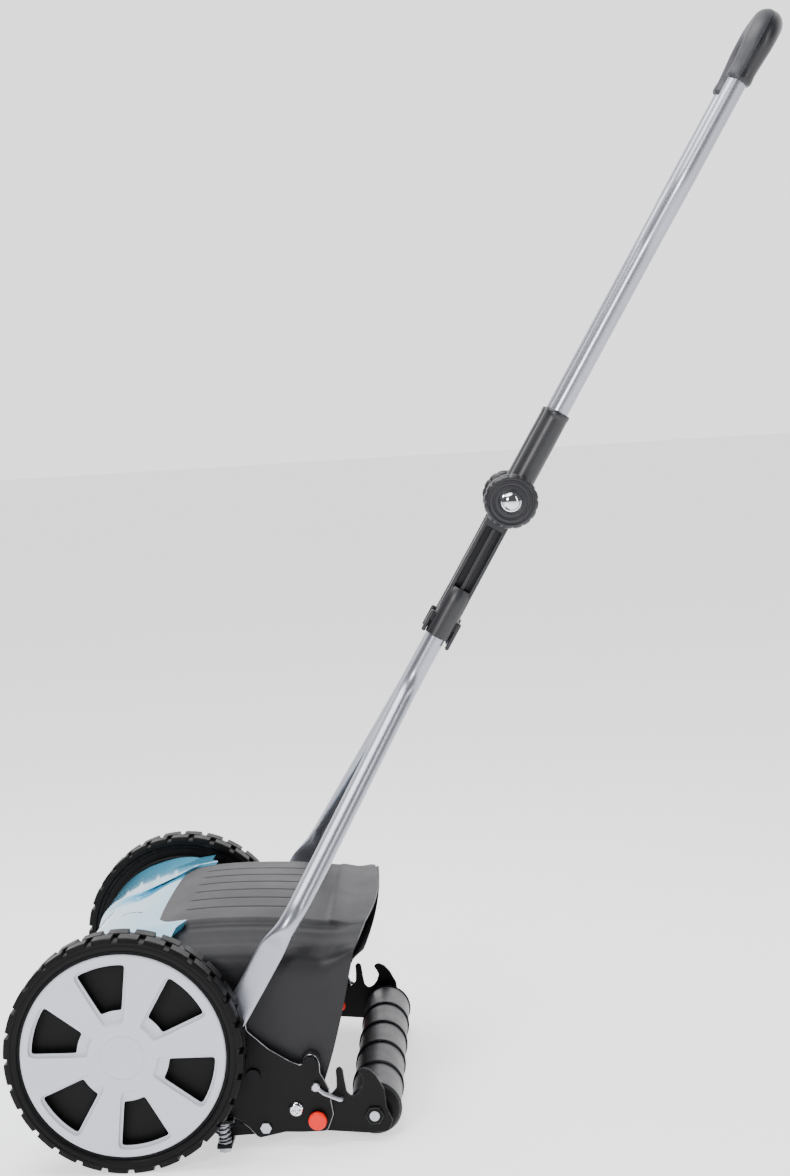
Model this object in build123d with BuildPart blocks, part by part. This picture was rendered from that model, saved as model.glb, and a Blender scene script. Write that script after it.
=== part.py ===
"""Hand-pushed reel mower: X along the wheel axle, +Y to the rear, Z up, origin on the ground."""
from build123d import *
import os
from math import acos, atan2, cos, hypot, pi, radians, sin, tan

os.makedirs("parts", exist_ok=True)

# ---------------------------------------------------------------- overall sizes
overall_width = 515.0
wheel_radius = 118.0
wheel_width = 42.0
plate_half = 200.0          # outer faces of the two side plates
handle_angle = 58.4         # slope of the handle above the ground
handle_reach = 572.0        # fold pivot to the top of the grip

# ---------------------------------------------------------------- clearances
run_gap = 0.05              # radial clearance of a shaft in its hole
seat_gap = 0.1              # radial clearance of a tube in its socket
side_gap = 0.3              # flat clearance between pieces that move past each other

# ---------------------------------------------------------------- wheels
axle_z = wheel_radius
wheel_out = overall_width / 2
wheel_in = wheel_out - wheel_width
tyre_inner_r = 104.0
lug_depth = 4.0
lug_count = 28
lug_gap = 7.0
rim_inner_r = 96.0
web_x = wheel_in + 19.5
web_t = 5.0
hub_r = 16.0
axle_r = 8.0
cap_r = 101.3
cap_t = 4.0
window_in = 46.0
window_out = 90.0
window_half = 14.5          # half the angle of one window
window_count = 6
window_start = 37.5
rib_count = 18

# ---------------------------------------------------------------- drive
module = 1.5
ring_teeth = 70
pinion_teeth = 14
pressure = radians(20)
backlash = 0.3
gear_t = 12.0
gear_x = wheel_in + 3.5
ring_outer_r = 60.0
shaft_r = 7.0

# ---------------------------------------------------------------- reel and bed knife
reel_angle = radians(-36.3)
centre_distance = module * (ring_teeth - pinion_teeth) / 2
reel_y = centre_distance * cos(reel_angle)
reel_z = axle_z + centre_distance * sin(reel_angle)
reel_r = 75.0
blade_depth = 22.0
blade_t = 3.0
blade_count = 5
blade_twist = 62.0
reel_half = 187.5
spider_t = 3.0
spider_count = 5
cut_gap = 0.3
knife_t = 3.0
knife_depth = 30.0
knife_lead = radians(-64.7)
knife_y = reel_y + (reel_r + cut_gap) * cos(knife_lead)
knife_z = reel_z + (reel_r + cut_gap) * sin(knife_lead)
carrier_pivot = (129.5, axle_z - 97.0)
carrier_half = 193.0
carrier_r = 9.0

# ---------------------------------------------------------------- frame
plate_t = 4.0
plate_in = plate_half - plate_t
drum_r = 90.0               # round front of the side plate, which the bonnet wraps
housing_r = 97.0
housing_t = 5.0
housing_x = plate_half + 8.0
bonnet_t = 3.0
bonnet_from = 69.0
bonnet_to = 205.0
front_tie = (-58.0, 130.0)
rear_tie = (120.0, 75.0)
tie_r = 7.0
handle_pivot = (105.0, 135.5)
handle_nut_t = 4.5
bracket_pivot = (161.0, 38.5)
button_at = (182.0, 27.0)
cover_lug = (178.0, 86.0)
screw_r = 4.0
adjuster_x = plate_half + 7.3
adjuster_y = 88.0
tab_z = axle_z - 87.0
tab_t = 3.0
lug_z = axle_z - 112.0

# ---------------------------------------------------------------- rear cover
cover_half = 191.2
cover_wall = 2.5
cover_front = (34.0, 221.0)
cover_brow = (160.0, 209.2)
groove_count = 6
groove_pitch = 30.8
groove_w = 2.4
groove_deep = 1.2

# ---------------------------------------------------------------- roller and its bracket
roller_at = (239.0, 27.0)
roller_r = 27.0
roller_half = 184.0
roller_segments = 5
roller_groove = 3.0
roller_axle_r = 5.0
arm_t = 3.2
arm_out = plate_in - 0.4
height_step = 8.0
height_steps = 3

# ---------------------------------------------------------------- handle
handle_dir = Vector(0, cos(radians(handle_angle)), sin(radians(handle_angle)))
fold_point = Vector(0, 412.7, 627.9)
tube_r = 10.25
tube_wall = 1.5
lower_in_x = 26.0
upper_x = 46.0
grip_x = 58.0
blade_x = plate_half + 0.5
strap_t = 6.0
strap_r = 13.0
strap_turn = (126.7, 170.0)
tube_foot_z = 196.0
splay_low_z = 232.0
splay_high_z = 436.0
lap_x = 32.0
lap_in_x = 14.0
lap_r = 22.0
channel_len = 129.0
channel_w = 26.0
socket_len = 36.0
socket_r = 13.5
socket_depth = 31.0
upper_sleeve_len = 105.0
upper_tube_foot = 30.0
flare_from = 300.0
flare_to = 370.0
bolt_r = 5.0
knob_r = 28.5
knob_t = 16.0
knob_lobes = 16
grip_r = 16.0
grip_foot = 485.6
grip_seat = 34.0
grip_corner_r = 36.0
lap_out_x = upper_x + socket_r


def side(x):
    """Plane across the axle at x: its own x runs to the rear and its own y runs up."""
    return Plane.YZ.offset(x)


def along(x):
    """Plane at x with its own x up the handle from the fold pivot."""
    return Plane(origin=fold_point + Vector(x, 0, 0), x_dir=handle_dir, z_dir=(1, 0, 0))


def on_handle(x, reach):
    """Point at x that lies reach up the handle's slope from the fold pivot."""
    return fold_point + Vector(x, 0, 0) + handle_dir * reach


def at_height(x, z):
    """Point at x where the handle's slope crosses the height z."""
    return on_handle(x, (z - fold_point.Z) / handle_dir.Z)


def finish(piece, node):
    """Label one piece and write it."""
    piece.part.label = node
    export_step(piece.part, f"parts/{node}.step")


def finish_pair(piece, node):
    """Write a left-hand piece and its mirror image on the right."""
    finish(piece, f"{node}_left")
    with BuildPart() as other:
        add(piece.part)
        mirror(about=Plane.YZ, mode=Mode.REPLACE)
    finish(other, f"{node}_right")


def finish_both(piece, node):
    """Write a left-hand piece and its mirror image as two solids of one node."""
    with BuildPart() as both:
        add(piece.part)
        mirror(about=Plane.YZ)
    finish(both, node)


def tooth_outline(teeth, tip_r, root_r, thickness, phase):
    """Closed outline of an involute gear: flank angle is the pitch half angle plus inv less inv."""
    pitch_r = module * teeth / 2
    base_r = pitch_r * cos(pressure)
    inv_pitch = tan(pressure) - pressure
    points = []
    for tooth in range(teeth):
        middle = phase + 2 * pi * tooth / teeth
        flank = []
        for step in range(4):
            r = max(base_r, root_r) + (tip_r - max(base_r, root_r)) * step / 3
            roll = acos(min(1.0, base_r / r))
            flank.append((r, thickness / 2 / pitch_r + inv_pitch - (tan(roll) - roll)))
        flank.insert(0, (root_r, flank[0][1]))
        points += [(r * cos(middle - a), r * sin(middle - a)) for r, a in flank]
        points += [(r * cos(middle + a), r * sin(middle + a)) for r, a in reversed(flank)]
    return points


# ================================================================ wheels
tread_w = wheel_width / 2 - 0.75
with BuildPart() as tyre:
    for row in range(2):
        with BuildSketch(side(wheel_in + row * tread_w)):
            with Locations((0, axle_z)):
                Circle(wheel_radius)
                Circle(tyre_inner_r, mode=Mode.SUBTRACT)
                with PolarLocations(wheel_radius, lug_count, start_angle=-90 + 180 / lug_count * (1 + row)):
                    Rectangle(2 * lug_depth, lug_gap, mode=Mode.SUBTRACT)
        extrude(amount=tread_w)
finish_pair(tyre, "tyre")

with BuildPart() as wheel_rim:
    with BuildSketch(side(wheel_in + 1.5)):
        with Locations((0, axle_z)):
            Circle(tyre_inner_r)
            Circle(rim_inner_r, mode=Mode.SUBTRACT)
    extrude(amount=wheel_width - 6.5)
    with BuildSketch(side(web_x)):
        with Locations((0, axle_z)):
            Circle(rim_inner_r + 1)
    extrude(amount=web_t)
    with BuildSketch(side(wheel_in + 3.5)):
        with Locations((0, axle_z)):
            Circle(hub_r)
    extrude(amount=wheel_width - 12.3)
    with BuildSketch(side(web_x - 9)):
        with Locations((0, axle_z)):
            with PolarLocations((rim_inner_r + ring_outer_r) / 2 + 1.5, rib_count):
                Rectangle(rim_inner_r - ring_outer_r - 2, 3)
    extrude(amount=9.5)
    with Locations(Location((wheel_out, 0, axle_z), (0, 90, 0))):
        Hole(axle_r + run_gap)
finish_pair(wheel_rim, "wheel_rim")

with BuildPart() as hub_cap:
    with BuildSketch(side(wheel_out - cap_t)):
        with Locations((0, axle_z)):
            Circle(cap_r)
    extrude(amount=cap_t)
    cap_edge = hub_cap.faces().sort_by(Axis.X)[-1].edges()
    fillet(cap_edge, radius=1.8)
    with BuildSketch(side(wheel_out - 5)):
        with Locations((0, axle_z)):
            Circle(tyre_inner_r - 4)
            Circle(rim_inner_r, mode=Mode.SUBTRACT)
            Circle(hub_r)
    extrude(amount=2)
    with BuildSketch(side(wheel_out)) as windows:
        with Locations((0, axle_z)):
            with PolarLocations(0, window_count, start_angle=window_start):
                inner_h = window_in * tan(radians(window_half))
                outer_h = window_out * tan(radians(window_half))
                Polygon((window_in, -inner_h), (window_out, -outer_h), (window_out, outer_h),
                        (window_in, inner_h), align=None)
        fillet(windows.vertices(), radius=7)
    extrude(amount=-2 * cap_t, mode=Mode.SUBTRACT)
    with BuildSketch(side(wheel_out)):
        with Locations((0, axle_z)):
            Circle(22)
            Circle(21, mode=Mode.SUBTRACT)
    extrude(amount=-0.8, mode=Mode.SUBTRACT)
finish_pair(hub_cap, "hub_cap")

tooth_t = module * pi / 2
with BuildPart() as ring_gear:
    with BuildSketch(side(gear_x)):
        with Locations((0, axle_z)):
            Circle(ring_outer_r)
            Polygon(*tooth_outline(ring_teeth, centre_distance + module * pinion_teeth / 2 + 1.9,
                                   centre_distance + module * pinion_teeth / 2 - 1.1,
                                   tooth_t + backlash / 2, reel_angle),
                    align=None, mode=Mode.SUBTRACT)
    extrude(amount=web_x - gear_x)
finish_pair(ring_gear, "ring_gear")

with BuildPart() as pinion:
    with BuildSketch(side(gear_x)):
        with Locations((reel_y, reel_z)):
            Polygon(*tooth_outline(pinion_teeth, module * pinion_teeth / 2 + 1.4,
                                   module * pinion_teeth / 2 - 1.9, tooth_t - backlash / 2, reel_angle),
                    align=None)
            Circle(shaft_r, mode=Mode.SUBTRACT)
    extrude(amount=gear_t)
finish_both(pinion, "pinions")

with BuildPart() as stub_axle:
    with BuildSketch(side(plate_in)):
        with Locations((0, axle_z)):
            Circle(axle_r)
    extrude(amount=wheel_out - 6 - plate_in)
    with BuildSketch(side(plate_in - 3.5)):
        with Locations((0, axle_z)):
            Circle(axle_r + 4)
    extrude(amount=3.5)
finish_both(stub_axle, "stub_axles")

with BuildPart() as axle_clip:
    with BuildSketch(side(wheel_out - 8.5)):
        with Locations((0, axle_z)):
            Circle(axle_r + 4)
            Circle(axle_r, mode=Mode.SUBTRACT)
    extrude(amount=1.5)
finish_both(axle_clip, "axle_clips")

# ================================================================ side plates and housings
with BuildPart() as side_plate:
    with BuildSketch(side(plate_in)):
        with Locations((0, axle_z)):
            Circle(drum_r)
        Polygon((0, 150), (60, 184), (94, 150), (handle_pivot[0] + 5, handle_pivot[1] + 10.5),
                (handle_pivot[0] + 10.5, handle_pivot[1] + 2.5), (handle_pivot[0] + 11, handle_pivot[1] - 14.5),
                (137, 101), (157, 88), (cover_lug[0] - 8.5, cover_lug[1] - 4),
                (cover_lug[0] - 6.5, cover_lug[1] + 5), (cover_lug[0], cover_lug[1] + 8.5),
                (cover_lug[0] + 6.5, cover_lug[1] + 5), (cover_lug[0] + 9, cover_lug[1] - 2),
                (cover_lug[0] + 9, cover_lug[1] - 12), (191, 66), (195, 56),
                (button_at[0] + 16, button_at[1] + 4), (button_at[0] + 9, button_at[1] - 13),
                (carrier_pivot[0] + 19, carrier_pivot[1] - 6), (carrier_pivot[0] - 8, carrier_pivot[1] - 11),
                (carrier_pivot[0] - 17, carrier_pivot[1]), (adjuster_y + 13, tab_z),
                (adjuster_y - 10, tab_z), (0, 60), align=None)
        with Locations((0, axle_z)):
            Circle(axle_r, mode=Mode.SUBTRACT)
        with Locations((reel_y, reel_z)):
            Circle(2 * shaft_r, mode=Mode.SUBTRACT)
        with Locations(handle_pivot):
            Circle(bolt_r, mode=Mode.SUBTRACT)
        with Locations(bracket_pivot, carrier_pivot, cover_lug, front_tie, rear_tie):
            Circle(screw_r, mode=Mode.SUBTRACT)
        with Locations(button_at):
            Circle(6 + run_gap, mode=Mode.SUBTRACT)
    extrude(amount=plate_t)
    with BuildSketch(Plane.XY.offset(tab_z)):
        with Locations(((plate_in + adjuster_x + 7) / 2, adjuster_y + 1)):
            Rectangle(adjuster_x + 7 - plate_in, 17)
        with Locations((adjuster_x, adjuster_y)):
            Circle(screw_r + 1.2, mode=Mode.SUBTRACT)
    extrude(amount=tab_t)
finish_pair(side_plate, "side_plate")

with BuildPart() as gear_housing:
    with BuildSketch(side(housing_x)):
        with Locations((0, axle_z)):
            Circle(housing_r)
    extrude(amount=housing_t)
    with BuildSketch(side(housing_x + 2)):
        with Locations((0, axle_z)):
            Circle(housing_r - 4)
    extrude(amount=housing_t, mode=Mode.SUBTRACT)
    with BuildSketch(side(plate_half)):
        with Locations((0, axle_z)):
            Circle(hub_r + 4)
        with Locations((reel_y, reel_z)):
            Circle(2 * shaft_r + 2)
    extrude(amount=housing_x - plate_half)
    with BuildSketch(side(plate_half)):
        with Locations((0, axle_z)):
            Circle(axle_r)
        with Locations((reel_y, reel_z)):
            Circle(shaft_r + 1)
    extrude(amount=20, mode=Mode.SUBTRACT)
    with BuildSketch(side(plate_half)):
        with Locations((reel_y, reel_z)):
            Circle(2 * shaft_r)
    extrude(amount=4, mode=Mode.SUBTRACT)
finish_pair(gear_housing, "gear_housing")

with BuildPart() as reel_bearing:
    with BuildSketch(side(plate_in - 2)):
        with Locations((reel_y, reel_z)):
            Circle(2 * shaft_r)
            Circle(shaft_r + run_gap, mode=Mode.SUBTRACT)
    extrude(amount=plate_t + 5)
finish_both(reel_bearing, "reel_bearings")

with BuildPart() as front_tie_bar:
    with BuildSketch(side(-plate_in)):
        with Locations(front_tie):
            Circle(tie_r)
            Circle(screw_r, mode=Mode.SUBTRACT)
    extrude(amount=2 * plate_in)
finish(front_tie_bar, "front_tie_bar")

with BuildPart() as rear_tie_bar:
    with BuildSketch(side(-plate_in)):
        with Locations(rear_tie):
            Circle(tie_r)
            Circle(screw_r, mode=Mode.SUBTRACT)
    extrude(amount=2 * plate_in)
finish(rear_tie_bar, "rear_tie_bar")

with BuildPart() as tie_screws:
    for x_in, grow in ((plate_in - 12, 1), (-plate_in + 12, -1)):
        with BuildSketch(side(x_in)):
            with Locations(front_tie, rear_tie):
                Circle(screw_r)
        extrude(amount=grow * (12 + plate_t))
        with BuildSketch(side(grow * plate_half)):
            with Locations(front_tie, rear_tie):
                Circle(screw_r + 3)
        extrude(amount=grow * 4)
finish(tie_screws, "tie_screws")

with BuildPart() as front_bonnet:
    with BuildSketch(side(-plate_half - 3)):
        with Locations((0, axle_z)):
            Circle(drum_r + bonnet_t)
            Circle(drum_r, mode=Mode.SUBTRACT)
            far = 2 * drum_r
            gate = [(far * cos(radians(a)), far * sin(radians(a)))
                    for a in (bonnet_from, 90, 135, 180, bonnet_to)]
            Polygon((0, 0), *gate, align=None, mode=Mode.INTERSECT)
    extrude(amount=2 * plate_half + 6)
finish(front_bonnet, "front_bonnet")

# ================================================================ reel
with BuildPart() as reel_shaft:
    with BuildSketch(side(-gear_x - gear_t - 2)):
        with Locations((reel_y, reel_z)):
            Circle(shaft_r)
    extrude(amount=2 * (gear_x + gear_t + 2))
    for x in (gear_x + gear_t / 2, -gear_x - gear_t / 2):
        with Locations((x, reel_y, reel_z)):
            Box(8.2, 4.2, 3 * shaft_r, mode=Mode.SUBTRACT)
finish(reel_shaft, "reel_shaft")

with BuildPart() as drive_pawls:
    for x in (gear_x + gear_t / 2, -gear_x - gear_t / 2):
        with Locations((x, reel_y, reel_z)):
            Box(8, 4, 2 * shaft_r - 1.2)
finish(drive_pawls, "drive_pawls")

with BuildPart() as reel_spiders:
    for i in range(spider_count):
        x = -reel_half + spider_t / 2 + i * (2 * reel_half - spider_t) / (spider_count - 1)
        turn = blade_twist * (x + reel_half) / (2 * reel_half)
        with BuildSketch(side(x - spider_t / 2)):
            with Locations((reel_y, reel_z)):
                Circle(26)
                with PolarLocations(0, blade_count, start_angle=turn):
                    Polygon((0, -12), (reel_r - blade_depth + 2, -5), (reel_r - blade_depth + 2, 5),
                            (0, 12), align=None)
                Circle(shaft_r, mode=Mode.SUBTRACT)
        extrude(amount=spider_t)
finish(reel_spiders, "reel_spiders")

with BuildPart() as reel_blades:
    sections = 9
    for blade in range(blade_count):
        for i in range(sections):
            x = -reel_half + i * 2 * reel_half / (sections - 1)
            turn = 360 / blade_count * blade + blade_twist * i / (sections - 1)
            spot = Plane(origin=(x, reel_y, reel_z), x_dir=(0, cos(radians(turn)), sin(radians(turn))),
                         z_dir=(1, 0, 0))
            with BuildSketch(spot):
                with Locations((reel_r - blade_depth / 2 - 0.1, 0)):
                    Rectangle(blade_depth, blade_t)
        loft()
finish(reel_blades, "reel_blades")

# ================================================================ bed knife
with BuildPart() as knife_carrier:
    with BuildSketch(side(-carrier_half)):
        Polygon((knife_y + 11, knife_z - knife_t), (knife_y + 36, knife_z - knife_t),
                (carrier_pivot[0] - 6, carrier_pivot[1] + 7), (carrier_pivot[0] + 2, carrier_pivot[1] - 8.5),
                (knife_y + 18, knife_z - 14), (knife_y + 11, knife_z - 10), align=None)
        with Locations(carrier_pivot):
            Circle(carrier_r)
            Circle(screw_r + run_gap, mode=Mode.SUBTRACT)
    extrude(amount=2 * carrier_half)
    with BuildSketch(Plane.XY.offset(lug_z)):
        for sign in (1, -1):
            with Locations((sign * (adjuster_x + 7 + carrier_half - 20) / 2, adjuster_y)):
                Rectangle(adjuster_x + 7 - carrier_half + 20, 15)
            with Locations((sign * adjuster_x, adjuster_y)):
                Circle(screw_r + run_gap, mode=Mode.SUBTRACT)
    extrude(amount=6)
    with BuildSketch(Plane.XY.offset(lug_z + 3.5)):
        for sign in (1, -1):
            with Locations((sign * (adjuster_x + 7 + carrier_half) / 2 + sign * 1.5, adjuster_y)):
                Rectangle(adjuster_x + 10 - carrier_half, 17)
    extrude(amount=4, mode=Mode.SUBTRACT)
finish(knife_carrier, "knife_carrier")

with BuildPart() as bed_knife:
    with BuildSketch(side(-reel_half)):
        Polygon((knife_y, knife_z), (knife_y + 2, knife_z - knife_t), (knife_y + knife_depth, knife_z - knife_t),
                (knife_y + knife_depth, knife_z), align=None)
    extrude(amount=2 * reel_half)
finish(bed_knife, "bed_knife")

with BuildPart() as adjuster_screw:
    with BuildSketch(Plane.XY.offset(lug_z)):
        with Locations((adjuster_x, adjuster_y)):
            Circle(screw_r)
    extrude(amount=tab_z + tab_t + 6 - lug_z)
    with BuildSketch(Plane.XY.offset(lug_z - 4.5)):
        with Locations((adjuster_x, adjuster_y)):
            RegularPolygon(6.5, 6)
    extrude(amount=4.5)
finish_pair(adjuster_screw, "adjuster_screw")

spring_low = lug_z + 3.5
spring_high = tab_z
spring_wire = 1.1
with BuildPart() as adjuster_spring:
    with BuildSketch(Plane.XY.offset(spring_low)):
        with Locations((adjuster_x, adjuster_y)):
            Circle(6.8)
            Circle(screw_r + 0.6, mode=Mode.SUBTRACT)
    extrude(amount=spring_high - spring_low)
    for turn in range(5):
        z = spring_low + 3.4 + turn * 3.7
        with BuildSketch(Plane.XY.offset(z)):
            with Locations((adjuster_x, adjuster_y)):
                Circle(7.5)
                Circle(6.8 - spring_wire, mode=Mode.SUBTRACT)
        extrude(amount=1.5, mode=Mode.SUBTRACT)
finish_both(adjuster_spring, "adjuster_springs")

# ================================================================ rear cover
cover_outer = [(28, 214), cover_front, cover_brow, (212, 201), (233, 195), (240, 188),
               (236, 178), (224, 172), (214, 150), (208, 136), (190, 60), (165, 62), (122, 94),
               (70, 150), (34, 209)]
cover_inner = [(20, 205), (cover_front[0] + 3, cover_front[1] - 3.5), (cover_brow[0], cover_brow[1] - 3.5),
               (211, 197.6), (226, 193), (233, 187), (231, 181), (221, 175), (211, 151), (204.5, 136),
               (187, 50), (160, 50), (110, 60), (40, 100)]
brow_slope = atan2(cover_brow[1] - cover_front[1], cover_brow[0] - cover_front[0])
groove_run = hypot(cover_brow[0] - cover_front[0], cover_brow[1] - cover_front[1]) - 16
with BuildPart() as rear_cover:
    with BuildSketch(side(-cover_half)):
        Polygon(*cover_outer, align=None)
    extrude(amount=2 * cover_half)
    shoulder = [e for e in rear_cover.edges().filter_by(Plane.YZ)
                if e.center().Z > 190 and e.length > 40]
    fillet(shoulder, radius=9)
    with BuildSketch(side(-cover_half + cover_wall)):
        Polygon(*cover_inner, align=None)
    extrude(amount=2 * (cover_half - cover_wall), mode=Mode.SUBTRACT)
    for i in range(groove_count):
        x = (i - (groove_count - 1) / 2) * groove_pitch
        spine = Plane(origin=(x, *cover_front), x_dir=(0, cos(brow_slope), sin(brow_slope)), z_dir=(1, 0, 0))
        with BuildSketch(spine.offset(-groove_w / 2)):
            with Locations((groove_run / 2 + 12, 0)):
                Rectangle(groove_run, 2 * groove_deep)
        extrude(amount=groove_w, mode=Mode.SUBTRACT)
    for sign in (1, -1):
        with BuildSketch(side(sign * (cover_half - 1))):
            with Locations(cover_lug):
                Circle(7)
        extrude(amount=sign * (plate_in - cover_half + 1))
        with BuildSketch(side(sign * plate_in)):
            with Locations(cover_lug):
                Circle(screw_r)
        extrude(amount=-sign * 14, mode=Mode.SUBTRACT)
finish(rear_cover, "rear_cover")

with BuildPart() as cover_screws:
    for sign in (1, -1):
        with BuildSketch(side(sign * (plate_in - 9))):
            with Locations(cover_lug):
                Circle(screw_r)
        extrude(amount=sign * (9 + plate_t))
        with BuildSketch(side(sign * plate_half)):
            with Locations(cover_lug):
                RegularPolygon(7, 6)
        extrude(amount=sign * 4)
finish(cover_screws, "cover_screws")

# ================================================================ roller and bracket
arm_in = arm_out - arm_t
arm_edge = [(150, 24), (181, 14), (253, 8), (257, 20), (251, 34), (250, 52), (237, 73), (230, 76),
            (224, 73), (229, 66), (228, 58), (222, 50), (215, 47), (211, 52), (209.5, 75), (206, 78),
            (202.5, 75), (203, 57), (196, 50), (172, 53), (154, 51), (147, 40)]
latch_r = hypot(button_at[0] - bracket_pivot[0], button_at[1] - bracket_pivot[1])
with BuildPart() as roller_arm:
    with BuildSketch(side(arm_in)):
        Polygon(*arm_edge, align=None)
        with Locations(bracket_pivot):
            Circle(screw_r + run_gap, mode=Mode.SUBTRACT)
        with Locations(roller_at):
            Circle(roller_axle_r, mode=Mode.SUBTRACT)
        for step in range(height_steps + 1):
            swing = radians(step * height_step)
            dy = button_at[0] - bracket_pivot[0]
            dz = button_at[1] - bracket_pivot[1]
            with Locations((bracket_pivot[0] + dy * cos(swing) - dz * sin(swing),
                            bracket_pivot[1] + dy * sin(swing) + dz * cos(swing))):
                Circle(6.4, mode=Mode.SUBTRACT)
    extrude(amount=arm_t)
finish_pair(roller_arm, "roller_arm")

with BuildPart() as roller_axle:
    with BuildSketch(side(-arm_out - 5)):
        with Locations(roller_at):
            Circle(roller_axle_r)
    extrude(amount=2 * (arm_out + 5))
finish(roller_axle, "roller_axle")

with BuildPart() as roller_nuts:
    for sign in (1, -1):
        with BuildSketch(side(sign * arm_out)):
            with Locations(roller_at):
                RegularPolygon(9.5, 6)
                Circle(roller_axle_r, mode=Mode.SUBTRACT)
        extrude(amount=sign * 4)
finish(roller_nuts, "roller_nuts")

segment_len = (2 * (roller_half - 8) - (roller_segments - 1) * roller_groove) / roller_segments
with BuildPart() as roller_shells:
    for i in range(roller_segments):
        x = -roller_half + 8 + i * (segment_len + roller_groove)
        with BuildSketch(side(x)):
            with Locations(roller_at):
                Circle(roller_r)
                Circle(roller_r - 4, mode=Mode.SUBTRACT)
        extrude(amount=segment_len)
    shell_rims = roller_shells.edges().filter_by(GeomType.CIRCLE).group_by(SortBy.RADIUS)[-1]
    fillet(shell_rims, radius=1.2)
finish(roller_shells, "roller_shells")

with BuildPart() as roller_core:
    with BuildSketch(side(-roller_half)):
        with Locations(roller_at):
            Circle(roller_r - 4)
    extrude(amount=2 * roller_half)
    for x, grow in ((-roller_half, 1), (roller_half, -1)):
        with BuildSketch(side(x)):
            with Locations(roller_at):
                Circle(roller_r - 1.5)
        extrude(amount=grow * 8)
    core_rims = roller_core.edges().filter_by(GeomType.CIRCLE).group_by(Axis.X)
    fillet(core_rims[0] + core_rims[-1], radius=5)
    with Locations(Location((roller_half, roller_at[0], roller_at[1]), (0, 90, 0))):
        Hole(roller_axle_r + run_gap)
finish(roller_core, "roller_core")

link_x = plate_half + 3.6
link_foot = (182.0, 61.0)
link_head = (207.0, 46.0)
link_len = hypot(link_head[0] - link_foot[0], link_head[1] - link_foot[1])
with BuildPart() as height_link:
    rod_start = Vector(link_x, *link_foot)
    rod_dir = Vector(link_x, *link_head) - rod_start
    with BuildSketch(Plane(origin=rod_start, z_dir=rod_dir)):
        Circle(3)
    extrude(amount=link_len)
    with BuildSketch(side(arm_out)):
        with Locations(link_head):
            Circle(3.5)
    extrude(amount=link_x + 3.3 - arm_out)
    with BuildSketch(side(plate_half + side_gap)):
        with Locations(link_foot):
            Circle(4.5)
    extrude(amount=6.6)
finish_both(height_link, "height_links")

with BuildPart() as bracket_screws:
    for sign in (1, -1):
        with BuildSketch(side(sign * (arm_in - 5))):
            with Locations(bracket_pivot):
                Circle(screw_r)
        extrude(amount=sign * (plate_half - arm_in + 5))
        with BuildSketch(side(sign * plate_half)):
            with Locations(bracket_pivot):
                Circle(7.5)
        extrude(amount=sign * 4)
        with BuildSketch(side(sign * (arm_in - 5))):
            with Locations(bracket_pivot):
                RegularPolygon(7.5, 6)
        extrude(amount=sign * (5 - side_gap))
    heads = bracket_screws.edges().filter_by(GeomType.CIRCLE)
    fillet([e for e in heads if abs(e.center().X) > plate_half + 3], radius=1.6)
finish(bracket_screws, "bracket_screws")

with BuildPart() as knife_pivot_bolts:
    for sign in (1, -1):
        with BuildSketch(side(sign * (carrier_half - 22))):
            with Locations(carrier_pivot):
                Circle(screw_r)
        extrude(amount=sign * (plate_half - carrier_half + 22))
        with BuildSketch(side(sign * plate_half)):
            with Locations(carrier_pivot):
                RegularPolygon(5.8, 6)
        extrude(amount=sign * 4)
finish(knife_pivot_bolts, "knife_pivot_bolts")

button_travel = 3.5
with BuildPart() as height_button:
    with BuildSketch(side(arm_in - 1)):
        with Locations(button_at):
            Circle(6)
    extrude(amount=plate_half - arm_in + 1 + button_travel + 1)
    with BuildSketch(side(plate_half + button_travel + 0.5)):
        with Locations(button_at):
            Circle(9.25)
    extrude(amount=5)
    button_rim = height_button.faces().sort_by(Axis.X)[-1].edges()
    fillet(button_rim, radius=2)
    with BuildSketch(side(arm_in - 3)):
        with Locations(button_at):
            Circle(5.2)
    extrude(amount=2)
finish_pair(height_button, "height_button")

# ================================================================ handle
with BuildPart() as handle_bolts:
    for sign in (1, -1):
        with BuildSketch(side(sign * (plate_in - handle_nut_t))):
            with Locations(handle_pivot):
                Circle(bolt_r)
        extrude(amount=sign * (blade_x + strap_t + side_gap - plate_in + handle_nut_t))
        with BuildSketch(side(sign * (blade_x + strap_t + side_gap))):
            with Locations(handle_pivot):
                RegularPolygon(8, 6)
        extrude(amount=sign * 4)
        with BuildSketch(side(sign * (plate_in - handle_nut_t))):
            with Locations(handle_pivot):
                RegularPolygon(8, 6)
        extrude(amount=sign * handle_nut_t)
finish(handle_bolts, "handle_bolts")

tube_mid_x = blade_x + strap_t / 2
foot = at_height(tube_mid_x, tube_foot_z)
with BuildPart() as lower_tube:
    with BuildLine() as lower_path:
        FilletPolyline(foot, at_height(tube_mid_x, splay_low_z), at_height(lower_in_x, splay_high_z),
                       on_handle(lower_in_x, -channel_len - socket_len + socket_depth), radius=60)
    with BuildSketch(Plane(origin=foot, z_dir=lower_path.line % 0)):
        Circle(tube_r)
        Circle(tube_r - tube_wall, mode=Mode.SUBTRACT)
    sweep()
    strap_top = at_height(tube_mid_x, tube_foot_z + 8)
    with BuildSketch(side(blade_x)):
        with Locations(handle_pivot, strap_turn):
            Circle(strap_r)
        make_hull()
    extrude(amount=strap_t)
    with BuildSketch(side(blade_x)):
        with Locations(strap_turn):
            Circle(strap_r)
        with Locations((strap_top.Y, strap_top.Z)):
            Circle(tube_r)
        make_hull()
    extrude(amount=strap_t)
    with BuildSketch(side(blade_x)):
        with Locations(handle_pivot):
            Circle(bolt_r + run_gap)
    extrude(amount=strap_t, mode=Mode.SUBTRACT)
finish_pair(lower_tube, "lower_tube")

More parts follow.
